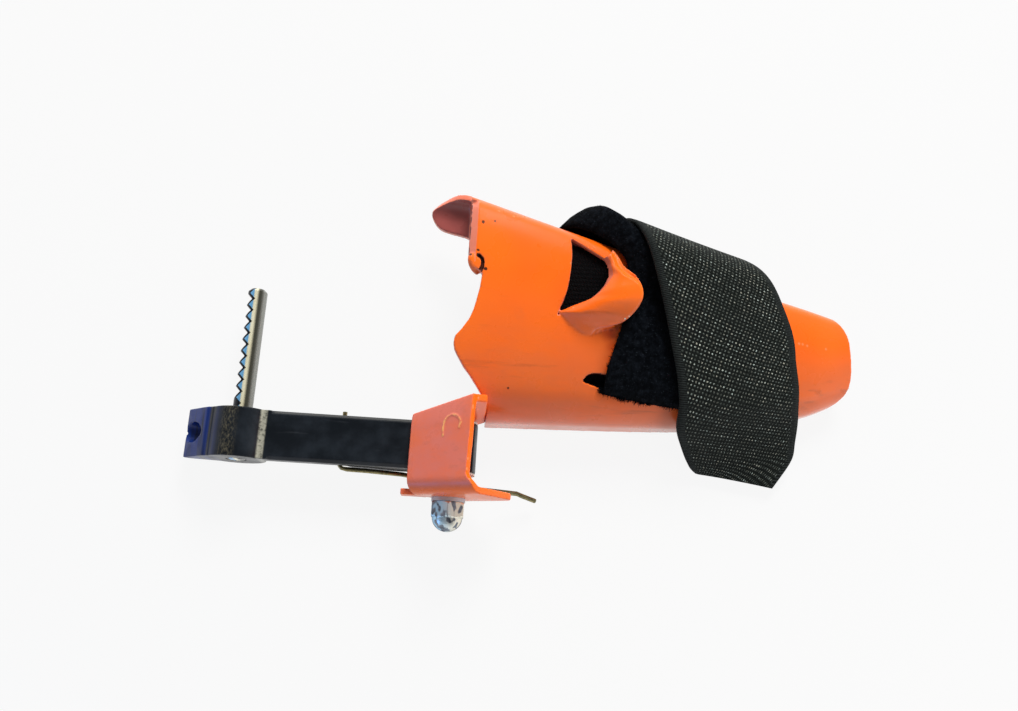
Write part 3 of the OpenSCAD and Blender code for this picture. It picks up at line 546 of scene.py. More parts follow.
def make_cuff():
    body = cuff_blank()
    carve(body, prism("mouth", MOUTH, -5, 80))
    carve(body, prism("window", WINDOW, 20, 80))
    carve(body, slot_tool())
    carve(body, prism("tip", TIP_CUT, 15, 60), SHADED)
    carve(body, prism("end", END_CUT, -5, 80))
    carve(body, bevel_tool())
    carve(body, prism("gap", GAP, 35.7, 60), SHADED)
    fold = spline_points(FOLD, 4)
    join(body, tongue(), ear(), tube("curl", spline_points(CURL, 4), CURL_W, 14),
         tube("fold", fold, FOLD_W, 12, np.interp(np.arange(len(fold)), *FOLD_TAPER)))
    return stand_in(remeshed(body, 0.42, 4, 0.55), "cuff_shell", "cuff")


# ---- arm and bracket
WALL_TILT = math.radians(37.5)
WALL_OUT, WALL_LEFT = 18.2, -7.75
BEND_R = 6.5
FAR_BEND = (13.8 - BEND_R, WALL_OUT - BEND_R)
# the wall: how much narrower its right side is at its foot and top, and how far its far edge climbs
NARROWER, CLIMB = (3.0, 1.6), (-1.7, 4.6)
CORNER = [(-19.4, -20.3), (-9, -20.3), (-9, -17.9), (-19.4, -17.9)]
# the scar on the wall: (along, y), and its width
SCAR = [(9.4, 1.6), (9.2, 5.4), (10.2, 8.3), (13.0, 9.9), (15.8, 9.4), (17.6, 7.2), (17.2, 4.6)]
SCAR_W, SCAR_OUT = 0.85, WALL_OUT - 0.1
ROOT_R, ROOT_SHOWN = 14.0, 10.2
WELD_FROM, LEG_MOVED, NOSE_LONGER, SCREW_HOLE_R = 14.0, 1.3, 1.8, 4.2


def points_of(obj):
    """The mesh's points in working-frame millimetres."""
    points = np.empty(len(obj.data.vertices) * 3)
    obj.data.vertices.foreach_get("co", points)
    return (points.reshape(-1, 3) - [OFF_X, OFF_Y, 0]) / MM


def copied(node, name):
    """New piece with a copy of a CAD node's mesh, and its points."""
    obj = add_object(name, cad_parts[node].data.copy())
    obj.data.materials.clear()
    return obj, points_of(obj)


def place(obj, points):
    obj.data.vertices.foreach_set("co", metres(points).ravel())
    obj.data.update()


def make_bracket():
    obj, _ = copied("pivot_bracket", "bracket_body")
    voxel(obj, 0.5, 0)
    settle(obj)
    x, y, z = points_of(obj).T
    c, s = math.cos(WALL_TILT), math.sin(WALL_TILT)
    t, n = x * c + (z - AXIS_Z) * s, -x * s + (z - AXIS_Z) * c
    up = np.clip((y + 20) / 34, 0, 1)
    # the wall narrows downward on its right, and its far edge climbs to the right
    t = t - (np.clip((t - 5) / 19.5, 0, 1.2) * lerp(*NARROWER, up)
             * smooth((y + 17.5) / 5) * smooth((n - 9) / 6))
    # its far bend is tighter than the near one
    a, b = (y - FAR_BEND[0]) / BEND_R, (n - FAR_BEND[1]) / BEND_R
    corner = (a > 0) & (b > 0)
    pull = np.where(corner, (np.hypot(a, b) / np.maximum(np.maximum(a, b), 0.05)) ** 0.8, 1)
    y = np.where(corner, FAR_BEND[0] + a * pull * BEND_R, y)
    n = np.where(corner, FAR_BEND[1] + b * pull * BEND_R, n)
    y = y + lerp(*CLIMB, np.clip((t - WALL_LEFT) / 30, 0, 1.1)) * smooth((y + 4) / 17)
    place(obj, np.stack([t * c - n * s, y, AXIS_Z + t * s + n * c], -1))
    mark_slots(obj)
    scar = tube("scar", [(a * c - SCAR_OUT * s, b, AXIS_Z + a * s + SCAR_OUT * c)
                         for a, b in spline_points(SCAR, 5)], SCAR_W, 8)
    # the scar's faces get a painted highlight
    mark_slots(scar, PALE)
    join(obj, prism("corner", CORNER, 9.5, 17.5), scar)
    return stand_in(remeshed(obj, 0.36, 3), "pivot_bracket", "cuff")


def make_weld():
    """The bead stops short of the bracket's near side."""
    obj, p = copied("weld_beads", "weld_body")
    p[:, 1] = np.where(p[:, 0] > 10, np.maximum(p[:, 1], WELD_FROM), p[:, 1])
    place(obj, p)
    return stand_in(obj, "weld_beads", "cuff")


def make_spring_leg():
    """The moving leg lies close under the arm."""
    obj, p = copied("spring_leg", "spring_moving")
    p[:, 1] += LEG_MOVED * (smooth((-12 - p[:, 0]) / 4) * smooth((-10.6 - p[:, 1]) / 0.8))
    place(obj, p)
    voxel(obj, 0.22, 3)
    return stand_in(settle(obj), "spring_leg", "arm")


def make_arm():
    obj, p = copied("swing_arm", "arm_body")
    p[:, 0] = np.where(p[:, 0] > 0, p[:, 0] * ROOT_SHOWN / ROOT_R, p[:, 0])
    p[:, 0] -= NOSE_LONGER * smooth((-ARM_LEN - 9 - p[:, 0]) / 8)
    place(obj, p)
    mark_slots(obj)
    angles = np.linspace(0, 2 * np.pi, 48, endpoint=False)
    hole = [(x, -SCREW_HOLE_R * math.cos(a), AXIS_Z - SCREW_HOLE_R * math.sin(a))
            for x in (-ARM_LEN - 30, -ARM_LEN - 14) for a in angles]
    carve(obj, closed("screw_hole", hole, pipe_faces(2, len(angles))))
    return stand_in(remeshed(obj, 0.36, 3), "swing_arm", "arm")


# ---- strap
# by place k: the near edge's x, how far the layer bulges, and its skew; by share across: the bulge's share
INNER_EDGE = [(10, 60), (12, 60.5), (14, 63), (18, 67.5), (21, 67.5), (23, 64), (25, 57), (27, 48.5),
              (29.5, 40), (32, 37.5), (36, 38.5)]
INNER_BULGE = [(9, 0.6), (14, 0.3), (19, 0), (22, 4.5), (25, 10.5), (28, 15), (31, 12), (33.5, 5),
               (36, 0.5)]
INNER_SHARE = [(0, 0.15), (0.1, 0.72), (0.2, 1), (0.28, 0.85), (0.36, 0.62), (0.6, 0.5), (1, 0.3)]
OUTER_EDGE = [(9, 91.5), (12, 89.5), (15, 86), (18, 82), (21, 77.5), (24, 72.5), (27, 67.5), (30, 63),
              (36, 58)]
OUTER_BULGE = [(9, 0.6), (15, 2), (21, 6.5), (24, 9.5), (28, 10.3), (33, 5.5), (36, 1)]
OUTER_SHARE = [(0, 1), (0.5, 0.9), (1, 0.8)]
OUTER_SKEW = [(9, 0.5), (14, 2), (18, 4.5), (22, 3.5), (26, 0), (36, -2)]
INSIDE_EDGE = [(11, 52), (14, 44), (17, 39), (21, 40)]
INSIDE_END = 20.5
SEAM_K = 12.5
# the hook tape comes round the cuff's open back: (near edge's x, k, distance out from the sheet)
DIVE = [(40, INSIDE_END, INSIDE_OUT), (42, 23.3, INSIDE_OUT - 0.6), (45, 27.5, INSIDE_OUT - 3),
        (48.5, 32.5, INSIDE_OUT - 1), (52, 34.8, INSIDE_OUT - 0.1), (55.5, 36.7, -SHEET / 2 - 2.6),
        (57.5, 37.35, -SHEET / 2), (58, 37, OUTER_OUT + 0.6), (58, 36.2, OUTER_OUT + 0.6)]
FREE_END = [[(91.5, CUFF_Y0 + 1.5, 22), (145, CUFF_Y0 + 9.5, 14.5)],
            [(96.2, CUFF_Y0 - 5.5, 12.5), (145.6, CUFF_Y0 + 1.5, 9)],
            [(100.5, CUFF_Y0 - 11, 6.5), (145.3, CUFF_Y0 - 6, 5)],
            [(104.3, CUFF_Y0 - 13, 3.2), (137.5, CUFF_Y0 - 18, 3)]]
ACROSS = np.linspace(0, 1, 27)
ROW_STEP = 1.0
INSIDE_RUN = 84.0
CLUMPS, LIP_HAIRS, EDGE_HAIRS, HAIR_R = 64, 1500, 1000, 0.12
# place k of the slot's lip at each x
LIP_K = [(58, 10.4), (61, 10.1), (69, 9.6), (76, 9.2), (84, 9.0), (92, 8.7)]


def wound_row(k, out, edges, bulges, shares, skews=((0, 0), (1, 0))):
    """Row across one layer of the strap at place k."""
    x = follow(edges, k) + (STRAP_W + follow(skews, k)) * ACROSS
    return cuff_at(x, k, out + follow(bulges, k) * follow(shares, ACROSS))


def inner_row(k):
    return wound_row(k, INNER_OUT, INNER_EDGE, INNER_BULGE, INNER_SHARE)


def outer_row(k):
    return wound_row(k, OUTER_OUT, OUTER_EDGE, OUTER_BULGE, OUTER_SHARE, OUTER_SKEW)


def slot_row(over):
    """Row of the inner layer that runs beside the slot."""
    return inner_row(slot_k(SLOT_EDGE + STRAP_W * ACROSS) + over)


def inside_row(k):
    """Row of the strap under the sheet."""
    return cuff_at(follow(INSIDE_EDGE, k) + STRAP_W * ACROSS, k, INSIDE_OUT)


def lip_row(degrees):
    """Row of the inner layer on its way round the slot's lip."""
    x = SLOT_EDGE - SLOT_TIP * smooth((degrees - 75) / 30) * (1 - ACROSS) ** 2 + STRAP_W * ACROSS
    k = slot_k(x)
    p = cuff_at(x, k)
    along = unit(p - cuff_at(x, k + 1))
    n = cuff_at(x, k, 1) - p
    c, s = polar(LIP_R, degrees)
    return p - n * SHEET / 2 + n * c + along * s


def resample(rows, step):
    """Rows spaced evenly along the strap, smoothed by a curve through each column."""
    rows = np.array(rows)
    dense = np.stack([spline_points(rows[:, j], 5) for j in range(rows.shape[1])], 1)
    mid = dense[:, dense.shape[1] // 2]
    s = np.concatenate([[0], np.cumsum(np.linalg.norm(np.diff(mid, axis=0), axis=1))])
    n = int(s[-1] / step) + 1
    t = np.linspace(0, s[-1], n)
    return np.stack([np.stack([np.interp(t, s, v) for v in column.T], -1)
                     for column in dense.transpose(1, 0, 2)], 1), t


def cloth(name, rows):
    """Tape round the rows of its middle, with a UV map in metres: u across, v along."""
    mid, along = resample(rows, ROW_STEP)
    for _ in range(3):
        mid[1:-1] = 0.5 * mid[1:-1] + 0.25 * (mid[2:] + mid[:-2])
    normal = unit(np.cross(np.gradient(mid, axis=0), np.gradient(mid, axis=1)))
    u_mm = np.linspace(0, STRAP_W, mid.shape[1])
    edge = np.minimum(u_mm, STRAP_W - u_mm)
    # thinner toward its edges, with a bead along each
    half = STRAP_T / 2 * (0.72 + 0.28 * smooth(edge / 2.6)) + 0.08 * np.exp(-((edge - 0.7) / 0.5) ** 2)
    thick = normal * half[None, :, None]
    obj = slab(name, mid + thick, mid - thick)
    layer = obj.data.uv_layers.new(name="tape")
    count, cols = mid.shape[:2]
    for loop in obj.data.loops:
        i = loop.vertex_index % (count * cols)
        layer.data[loop.index].uv = (u_mm[i % cols] * MM, along[i // cols] * MM)
    return obj


def make_strap():
    loop_rows = [inner_row(k) for k in (35.8, *range(35, 20, -1), 19.5, 18, 16.2, 14.6)]
    loop_rows += [slot_row(over) for over in (3, 2, 1)] + [lip_row(a) for a in range(0, 181, 30)]
    loop_rows += [inside_row(k) for k in (11.5, 12.0, SEAM_K - 0.06)]
    hook_rows = [inside_row(k) for k in (SEAM_K + 0.06, 13.5, 15, 16.5, 18, 19.5)]
    hook_rows += [cuff_at(near + STRAP_W * ACROSS, k, out) for near, k, out in DIVE]
    hook_rows += [outer_row(k) for k in (35.2, *range(34, 20, -1), *np.arange(19.5, 10, -1.5), 9.2)]
    hook_rows += [lerp(*np.array(ends, float)[:, None], ACROSS[:, None]) for ends in FREE_END]
    loop = stand_in(cloth("strap_inner", loop_rows), "strap_loop_tape", "cuff")
    hook = stand_in(cloth("strap_outer", hook_rows), "strap_hook_tape", "cuff")
    fuzz = make_fuzz()
    return loop, hook, fuzz


def make_fuzz():
    """Loose loops of pile along the slot and the inner layer's edges."""
    roots, ways = [], []
    clumps = SLOT_EDGE - 1.5 + 34 * rng.random(CLUMPS)
    reach = rng.uniform(0.4, 1.5, CLUMPS)
    for i in rng.integers(0, CLUMPS, LIP_HAIRS):
        x = clumps[i] + rng.normal(0, 0.28)
        lip = np.interp(x, *np.transpose(LIP_K))
        roots.append(cuff_at(x, lip + rng.uniform(-0.05, 0.22), rng.uniform(0.15, 0.6)))
        ways.append(rng.normal((-0.2, -1.0, -0.15), (0.35, 0.3, 0.2)) * reach[i])
    for _ in range(EDGE_HAIRS):
        row = inner_row(11 + 22 * rng.random() ** 0.7)
        share = 0 if rng.random() < 0.6 else rng.uniform(0, 0.7)
        i = share * (len(ACROSS) - 1)
        a = row[int(i)]
        roots.append(a + (row[min(int(i) + 1, len(row) - 1)] - a) * (i % 1) + np.array([0, 0, 0.55]))
        ways.append((rng.normal(-0.35 if share == 0 else 0, 0.35), rng.normal(0, 0.5),
                     abs(rng.normal(0.4, 0.3))))
    verts, faces = [], []
    for root, way in zip(roots, ways):
        way = np.array(way) * rng.uniform(0.6, 1.5)
        side = unit(np.cross(way, rng.normal(size=3)))
        lift = unit(np.cross(way, side))
        bow = side * rng.normal(0, 0.35)
        base = len(verts)
        for t in (0, 0.4, 0.75, 1):
            at = root + way * t + bow * math.sin(math.pi * t) + lift * 0.1 * t
            r = HAIR_R * (1 - 0.55 * t)
            verts += [at + r * (side * math.cos(a) + lift * math.sin(a)) for a in (0, 2.1, 4.2)]
        faces += ring_faces(4, 3, base) + [(base + 2, base + 1, base), (base + 9, base + 10, base + 11)]
    obj = mesh_object("strap_fuzz", np.array(verts), faces)
    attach(obj, "cuff")
    return obj


# ---- materials
class Nodes:
    """Short calls that add nodes; inputs are given as values or as other nodes' outputs."""

    def __init__(self, tree):
        self.tree = tree

    def put(self, socket, value):
        if isinstance(value, bpy.types.NodeSocket):
            self.tree.links.new(value, socket)
        elif isinstance(value, tuple) and socket.type == "RGBA":
            socket.default_value = (*value, 1)
        else:
            socket.default_value = value

    def node(self, kind, inputs={}, out=0, **props):
        """New node with its properties and inputs set; gives one of its outputs."""
        n = self.tree.nodes.new(kind)
        for key, value in props.items():
            setattr(n, key, value)
        for key, value in inputs.items():
            self.put(n.inputs[key], value)
        return n.outputs[out]

    def coords(self, kind="Object"):
        if kind == "UV":
            return self.node("ShaderNodeUVMap", uv_map="tape")
        return self.node("ShaderNodeTexCoord", out=kind)

    def noise(self, scale, detail=3, rough=0.5, at=None, stretch=None):
        at = at or self.coords()
        if stretch:
            at = self.node("ShaderNodeMapping", {"Vector": at, "Scale": stretch})
        return self.node("ShaderNodeTexNoise", {"Vector": at, "Scale": scale, "Detail": detail,
                                                "Roughness": rough}, "Fac")

    def ramp(self, value, low, high, a=0.0, b=1.0):
        return self.node("ShaderNodeMapRange", {"Value": value, "From Min": low, "From Max": high,
                                                "To Min": a, "To Max": b}, interpolation_type="SMOOTHSTEP")

    def math(self, how, a, b=0.0):
        return self.node("ShaderNodeMath", {0: a, 1: b}, operation=how)

    def plus(self, a, b):
        return self.math("ADD", a, b)

    def minus(self, a, b):
        return self.math("SUBTRACT", a, b)

    def times(self, a, b):
        return self.math("MULTIPLY", a, b)

    def wave(self, value, period):
        return self.math("SINE", self.times(value, 2 * math.pi / period))

    def near(self, value, place, low, high):
        """1 within low of the place, 0 beyond high."""
        return self.minus(1.0, self.ramp(self.math("ABSOLUTE", self.minus(value, place)), low, high))

    def mix(self, factor, a, b):
        return self.node("ShaderNodeMix", {"Factor": factor, 6: a, 7: b}, 2, data_type="RGBA")

    def lay(self, base, mask, amount, colour):
        """The colour over the base, by an amount of the mask."""
        return self.mix(self.times(mask, amount), base, colour)

    def split(self, vector):
        return [self.node("ShaderNodeSeparateXYZ", {0: vector}, axis) for axis in "XYZ"]

    def bump(self, height, distance_mm, strength=1.0, normal=None):
        inputs = {"Height": height, "Distance": distance_mm * MM, "Strength": strength}
        return self.node("ShaderNodeBump", {**inputs, "Normal": normal} if normal else inputs)

    def edges(self, low, high):
        """1 on sharp outer edges, 0 elsewhere; 1 in hollows where high is below low."""
        return self.ramp(self.node("ShaderNodeNewGeometry", out="Pointiness"), low, high)


class Paint(Nodes):
    """A node material."""

    def __init__(self, name):
        self.mat = bpy.data.materials.new(name)
        self.mat.use_nodes = True
        super().__init__(self.mat.node_tree)
        self.tree.nodes.clear()
        self.out = self.tree.nodes.new("ShaderNodeOutputMaterial")
        self.bsdf = self.tree.nodes.new("ShaderNodeBsdfPrincipled")
        self.put(self.out.inputs[0], self.bsdf.outputs[0])

    def made(self, colour, rough, normal, **more):
        """The material with these inputs of its shader."""
        for key, value in {"Base Color": colour, "Roughness": rough, "Normal": normal, **more}.items():
            self.put(self.bsdf.inputs[key.replace("_", " ")], value)
        return self.mat


ORANGE = (1.0, 0.158, 0.006)
ORANGE_DEEP = (0.96, 0.135, 0.005)
ORANGE_EDGE_HIGHLIGHT = (0.92, 0.30, 0.12)
STREAK = (0.34, 0.075, 0.025)
CREVICE_SHADE = (0.16, 0.022, 0.012)
SMUDGE = (0.42, 0.13, 0.06)
# kind of face, span of its attribute, colour: painted pink reflection on cut rims, painted shade on under
# sides, painted shadow in the cuts, painted highlight on the scar
KIND_COLOURS = [("rim", 0.25, 0.75, (0.86, 0.24, 0.16)), ("inner", 0.3, 0.7, (0.36, 0.085, 0.075)),
                ("shaded", 0.2, 0.6, (0.035, 0.006, 0.004)), ("pale", 0.15, 0.5, (1.0, 0.46, 0.16))]
RIM_AMOUNT = 0.8
WORN_X = OFF_X - 76.4 * MM
PIN_X = OFF_X - ARM_LEN * MM
BLUE_REFLECTION_X = PIN_X - 13 * MM
# painted shade, painted shadow in the crease, chips in the paint and white glints, each (x, y, z, radius) in
# working-frame millimetres
SHADE = [(61, 48, 32.2, 4.5), (63, 43, 31, 4.5), (62.5, 38, 30.4, 4), (61, 34.5, 29.5, 3)]
CREASE_SHADOW = [(53.6, 46.9, 32.0, 1.0), (55.2, 48.0, 32.3, 1.3), (57, 49.0, 32.6, 1.5), (59, 49.6, 32.7, 1.6),
          (61.5, 50.0, 32.6, 1.7), (64, 50.6, 32.5, 1.7), (66, 51.2, 32.5, 1.6)]
CHIPS = [(6.4, 91.1, 37.0, 0.75), (11.4, 92, 36.4, 0.6), (17, 91, 37.5, 0.3), (5.3, 78.4, 37.6, 0.6),
         (8.7, 70.7, 37.2, 0.7), (2.2, 76.3, 37.8, 0.7), (13.0, 89.5, 37.5, 0.35), (21, 23.6, 28.4, 0.4),
         (11.6, 14.9, 21.4, 0.5), (39, 54.9, 34.1, 0.3), (59.6, 72, 40.2, 0.3), (58.6, 67.4, 41, 0.3)]
GLINTS = [(48.0, 57.0, 36.6, 0.4), (47.0, 56.3, 36.3, 0.3), (66.0, 52.9, 39.3, 0.35),
          (67.4, 54.0, 39.8, 0.4), (63.8, 51.8, 38.6, 0.3)]
# marks, colour, how much of it, how soft its edge is in millimetres
SPOTS = [(SHADE, (0.72, 0.070, 0.004), 0.8, 4.5), (CREASE_SHADOW, (0.38, 0.025, 0.004), 0.7, 2.0),
         (CHIPS, (0.02, 0.008, 0.006), 0.95, 0.4), (GLINTS, (0.85, 0.95, 0.80), 0.9, 0.4)]
SPOT_EDGE, SPOT_RAGGED = 0.75, 1.2


def orange_paint(name, side, low, high, facing_amount, facing_colour, streaks, coat):
    """Powder coat; painted shade and a pink painted reflection, mottled, hide the orange on faces that look
    toward side.
    """
    p = Paint(name)
    base = p.mix(p.ramp(p.noise(22, 2), 0.35, 0.7), ORANGE, ORANGE_DEEP)
    # painted highlight on sharp outer edges
    base = p.lay(base, p.edges(0.52, 0.6), 0.6, ORANGE_EDGE_HIGHLIGHT)
    # painted shade and pink painted reflection on faces that look toward side, mottled by noise
    facing = p.node("ShaderNodeNewGeometry", out="Normal")
    toward = p.node("ShaderNodeVectorMath", {0: facing, 1: side}, "Value", operation="DOT_PRODUCT")
    painted_facing_tint = p.times(p.ramp(toward, low, high), facing_amount)
    painted_facing_tint = p.times(p.ramp(p.noise(75, 4, 0.65, stretch=(0.5, 1, 1)), 0.26, 0.62, 0.45, 1.0), painted_facing_tint)
    base = p.mix(painted_facing_tint, base, facing_colour)
    # dark streaks, only within the painted shade and reflection
    streak = p.times(p.ramp(p.noise(210, 4, 0.6, stretch=(0.10, 1, 1)), 0.56, 0.68), painted_facing_tint)
    base = p.lay(base, streak, streaks, STREAK)
    # painted reflection, shade, shadow and highlight by kind of face; the scar's highlight is patchy
    amounts = {"rim": RIM_AMOUNT, "pale": p.ramp(p.noise(520, 3, 0.7), 0.42, 0.60, 0.05, 1.0)}
    for kind, start, full, colour in KIND_COLOURS:
        mask = p.ramp(p.node("ShaderNodeAttribute", out="Fac", attribute_name=kind), start, full)
        base = p.lay(base, mask, amounts.get(kind, 1.0), colour)
    # painted shade in hollows and creases
    base = p.lay(base, p.edges(0.47, 0.41), 0.75, CREVICE_SHADE)
    base = p.lay(base, p.ramp(p.noise(60, 5, 0.6), 0.58, 0.76), 0.14, SMUDGE)
    at = p.coords()
    ragged = p.times(p.noise(900, 3), SPOT_RAGGED * MM)
    for spots, colour, amount, soft in SPOTS:
        speck = 0.0
        for x, y, z, r in spots:
            gap = p.node("ShaderNodeVectorMath", {0: at, 1: metres((x, y, z))}, "Value", operation="DISTANCE")
            edge = r + SPOT_EDGE
            speck = p.math("MAXIMUM", speck, p.ramp(p.plus(gap, ragged), edge * MM, (edge - soft) * MM))
        base = p.lay(base, speck, amount, colour)
    normal = p.bump(p.noise(420, 2, 0.4), 0.035, 0.6, p.bump(p.noise(55, 1), 0.5, 0.35))
    return p.made(base, p.ramp(p.noise(80, 4), 0.3, 0.75, 0.24, 0.40), normal,
                  Coat_Weight=coat, Coat_Roughness=0.17, Specular_IOR_Level=0.35)


def black_finish():
    """Black oxide with worn edges, scratches, a worn band and gold rub at the boss, and a painted blue
    reflection on the nose.
    """
    p = Paint("black_finish")
    base = p.mix(p.ramp(p.noise(70, 5, 0.6), 0.4, 0.75), (0.004, 0.006, 0.009), (0.016, 0.021, 0.028))
    base = p.lay(base, p.edges(0.53, 0.62), 0.35, (0.12, 0.12, 0.11))
    scratch = p.ramp(p.noise(160, 3, 0.7, stretch=(0.12, 1, 1)), 0.66, 0.74)
    base = p.lay(base, scratch, 0.12, (0.14, 0.15, 0.17))
    x = p.split(p.coords())[0]
    band = p.near(x, WORN_X, 0.8 * MM, 1.7 * MM)
    worn = p.times(band, p.ramp(p.noise(560, 4, 0.7), 0.34, 0.56, 0.25, 1.0))
    base = p.lay(base, worn, 0.9, (0.42, 0.41, 0.33))
    # painted blue reflection on the nose
    blue_reflection = p.ramp(p.noise(330, 2, 0.6, stretch=(1, 0.05, 0.05)), 0.40, 0.58)
    base = p.lay(base, p.ramp(x, BLUE_REFLECTION_X + 9 * MM, BLUE_REFLECTION_X), blue_reflection, (0.003, 0.022, 0.16))
    gold = p.times(p.near(x, PIN_X - 2 * MM, 0.8 * MM, 4.5 * MM),
                   p.ramp(p.noise(1500, 4, 0.75, stretch=(1, 0.4, 1)), 0.42, 0.66))
    base = p.lay(base, gold, 0.35, (0.26, 0.23, 0.15))
    normal = p.bump(p.noise(700, 3, 0.6), 0.03, 0.5, p.bump(p.noise(90, 2), 0.25, 0.3))
    return p.made(base, p.ramp(p.noise(110, 5, 0.6), 0.3, 0.7, 0.30, 0.48), normal,
                  Coat_Weight=0.18, Coat_Roughness=0.2, Specular_IOR_Level=0.25)


def metal(name, colour, dark, rough, scale=300, metallic=1.0, reflection_scale=None):
    """Plated metal with painted shade in its hollows and painted highlights on its edges; reflection_scale is
    the scale of painted reflection patches.
    """
    p = Paint(name)
    base = p.mix(p.ramp(p.noise(scale, 5, 0.6), 0.35, 0.75), colour, dark)
    if reflection_scale:
        # painted reflection patches, blue to the left and warm to the right
        x = p.minus(p.split(p.coords())[0], OFF_X)
        reflection_tint = p.mix(p.ramp(x, -4 * MM, 4 * MM), (0.50, 0.78, 1.0), (1.0, 0.96, 0.80))
        base = p.mix(p.ramp(p.noise(reflection_scale, 1, 0.5, stretch=(1, 0.5, 1)), 0.41, 0.49), base, reflection_tint)
    base = p.lay(base, p.ramp(p.noise(130, 3), 0.55, 0.75), 0.5, dark)
    # painted shade in the hollows and painted highlight on the edges
    base = p.mix(p.edges(0.485, 0.44), base, (0.012, 0.014, 0.02))
    base = p.lay(base, p.edges(0.53, 0.60), 0.7, (0.80, 0.88, 0.96))
    normal = p.bump(p.noise(scale * 2, 3, 0.6), 0.02, 0.5)
    return p.made(base, p.ramp(p.noise(scale * 0.6, 4), 0.3, 0.7, rough, rough + 0.14), normal,
                  Metallic=metallic, Specular_Tint=(0.10, 0.11, 0.13))


def pin_plate():
    """Pale gold plate on the notched post: painted blue reflection on the teeth, edged in painted black
    shadow, and a painted dark reflection down one side.
    """
    p = Paint("plated_steel")
    x, y, _ = p.split(p.coords())
    across = p.minus(x, PIN_X)
    grain = p.ramp(p.noise(500, 5, 0.6, stretch=(1, 0.12, 1)), 0.35, 0.75)
    base = p.mix(grain, (1.0, 0.95, 0.70), (0.90, 0.82, 0.54))
    # painted dark reflection down the side away from the teeth, grey at its edge
    base = p.lay(base, p.ramp(across, 0.4 * MM, 1.7 * MM), 0.97, (0.035, 0.036, 0.028))
    base = p.lay(base, p.ramp(across, 2.4 * MM, 3.3 * MM), 0.6, (0.40, 0.41, 0.38))
    # painted black shadow along the notches and painted blue reflection on the teeth
    edge = p.plus(p.math("PINGPONG", p.minus(y, TOOTH_Y), TOOTH_PITCH / 2),
                  p.plus(across, PIN_R - TOOTH_DEPTH))
    base = p.mix(p.ramp(across, -0.2 * MM, -0.8 * MM), base, (0.18, 0.48, 0.80))
    base = p.mix(p.ramp(edge, 1.5 * MM, 1.1 * MM), base, (0.006, 0.008, 0.014))
    normal = p.bump(p.noise(1000, 3, 0.6, stretch=(1, 0.2, 1)), 0.02, 0.5)
    return p.made(base, p.ramp(p.noise(300, 4), 0.3, 0.7, 0.20, 0.34), normal, Metallic=0.35)


PITCH_ACROSS, PITCH_ALONG, COURSE, RIB = 1.5 * MM, 1.7 * MM, 6.8 * MM, 0.85 * MM
SELVAGE_FROM, SELVAGE_TO = 2.6, 3.6


def hook_tape():
    """Woven tape: a lattice of knots with painted glints between plain selvages, painted near black where it
    runs in shade inside the cuff.
    """
    p = Paint("hook_tape")
    at = p.coords("UV")
    uv = p.split(at)
    wobble = p.times(p.minus(p.noise(260, 2, at=at), 0.5), 0.9 * MM)
    u, v = p.plus(uv[0], wobble), p.plus(uv[1], wobble)
    leaning = p.minus(v, p.times(u, 0.25))
    knots = p.times(p.plus(p.wave(p.plus(u, p.times(v, 0.5)), PITCH_ACROSS), 1),
                    p.plus(p.wave(leaning, PITCH_ALONG), 1))
    selvage = p.times(p.ramp(uv[0], SELVAGE_FROM * MM, SELVAGE_TO * MM),
                      p.ramp(uv[0], (STRAP_W - SELVAGE_FROM) * MM, (STRAP_W - SELVAGE_TO) * MM))
    fine = p.noise(1500, 3, 0.7)
    course = p.plus(0.5, p.times(0.5, p.wave(leaning, COURSE)))
    # the painted glints fade toward the tape's two ends, where it is lit less, between the courses and in
    # patches
    glint = p.ramp(knots, 1.8, 3.1)
    for mask in (p.ramp(fine, 0.36, 0.58), p.ramp(p.noise(620, 2, 0.6), 0.40, 0.62, 0.05, 0.9),
                 p.times(p.ramp(uv[1], 150 * MM, 185 * MM, 0.55, 1.0),
                         p.ramp(uv[1], 240 * MM, 205 * MM, 0.6, 1.0)),
                 selvage, p.times(p.ramp(p.noise(60, 3), 0.25, 0.55, 0.25, 1.0),
                                  p.ramp(course, 0.0, 0.7, 0.35, 1.0))):
        glint = p.times(glint, mask)
    rib = p.wave(uv[1], RIB)
    base = p.mix(p.ramp(p.noise(900, 4, 0.7), 0.3, 0.75), (0.002, 0.003, 0.0025), (0.012, 0.015, 0.013))
    base = p.lay(base, p.ramp(knots, 0.8, 2.4), p.times(selvage, 0.85), (0.040, 0.047, 0.041))
    tick = p.times(p.ramp(rib, 0.3, 0.9), p.minus(1.0, selvage))
    base = p.lay(base, tick, 0.6, (0.045, 0.052, 0.052))
    # painted glint colour
    bright = p.mix(p.ramp(p.noise(520, 2), 0.4, 0.6), (0.66, 0.78, 0.72), (0.74, 0.72, 0.58))
    base = p.mix(glint, base, bright)
    # painted shade: near black where the tape runs inside the cuff
    inside_shade = p.ramp(uv[1], INSIDE_RUN * MM, (INSIDE_RUN - 8) * MM)
    base = p.lay(base, inside_shade, 0.985, (0.001, 0.001, 0.0015))
    height = p.plus(p.times(knots, p.times(selvage, 0.22)), p.plus(p.times(rib, 0.10), p.times(fine, 0.5)))
    return p.made(base, p.ramp(glint, 0, 1, 0.72, 0.35), p.bump(height, 0.55, 0.9), Specular_IOR_Level=0.2)


def loop_tape():
    """Brushed pile."""
    p = Paint("loop_tape")
    tuft = p.noise(420, 5, 0.75)
    base = p.mix(p.ramp(tuft, 0.40, 0.75), (0.0008, 0.0012, 0.002), (0.007, 0.009, 0.013))
    base = p.lay(base, p.ramp(p.noise(1500, 2, 0.6), 0.62, 0.75), 0.7, (0.035, 0.044, 0.055))
    height = p.plus(p.times(tuft, 0.7), p.noise(110, 3, 0.6))
    return p.made(base, 0.95, p.bump(height, 1.2, 0.9), Specular_IOR_Level=0.1)


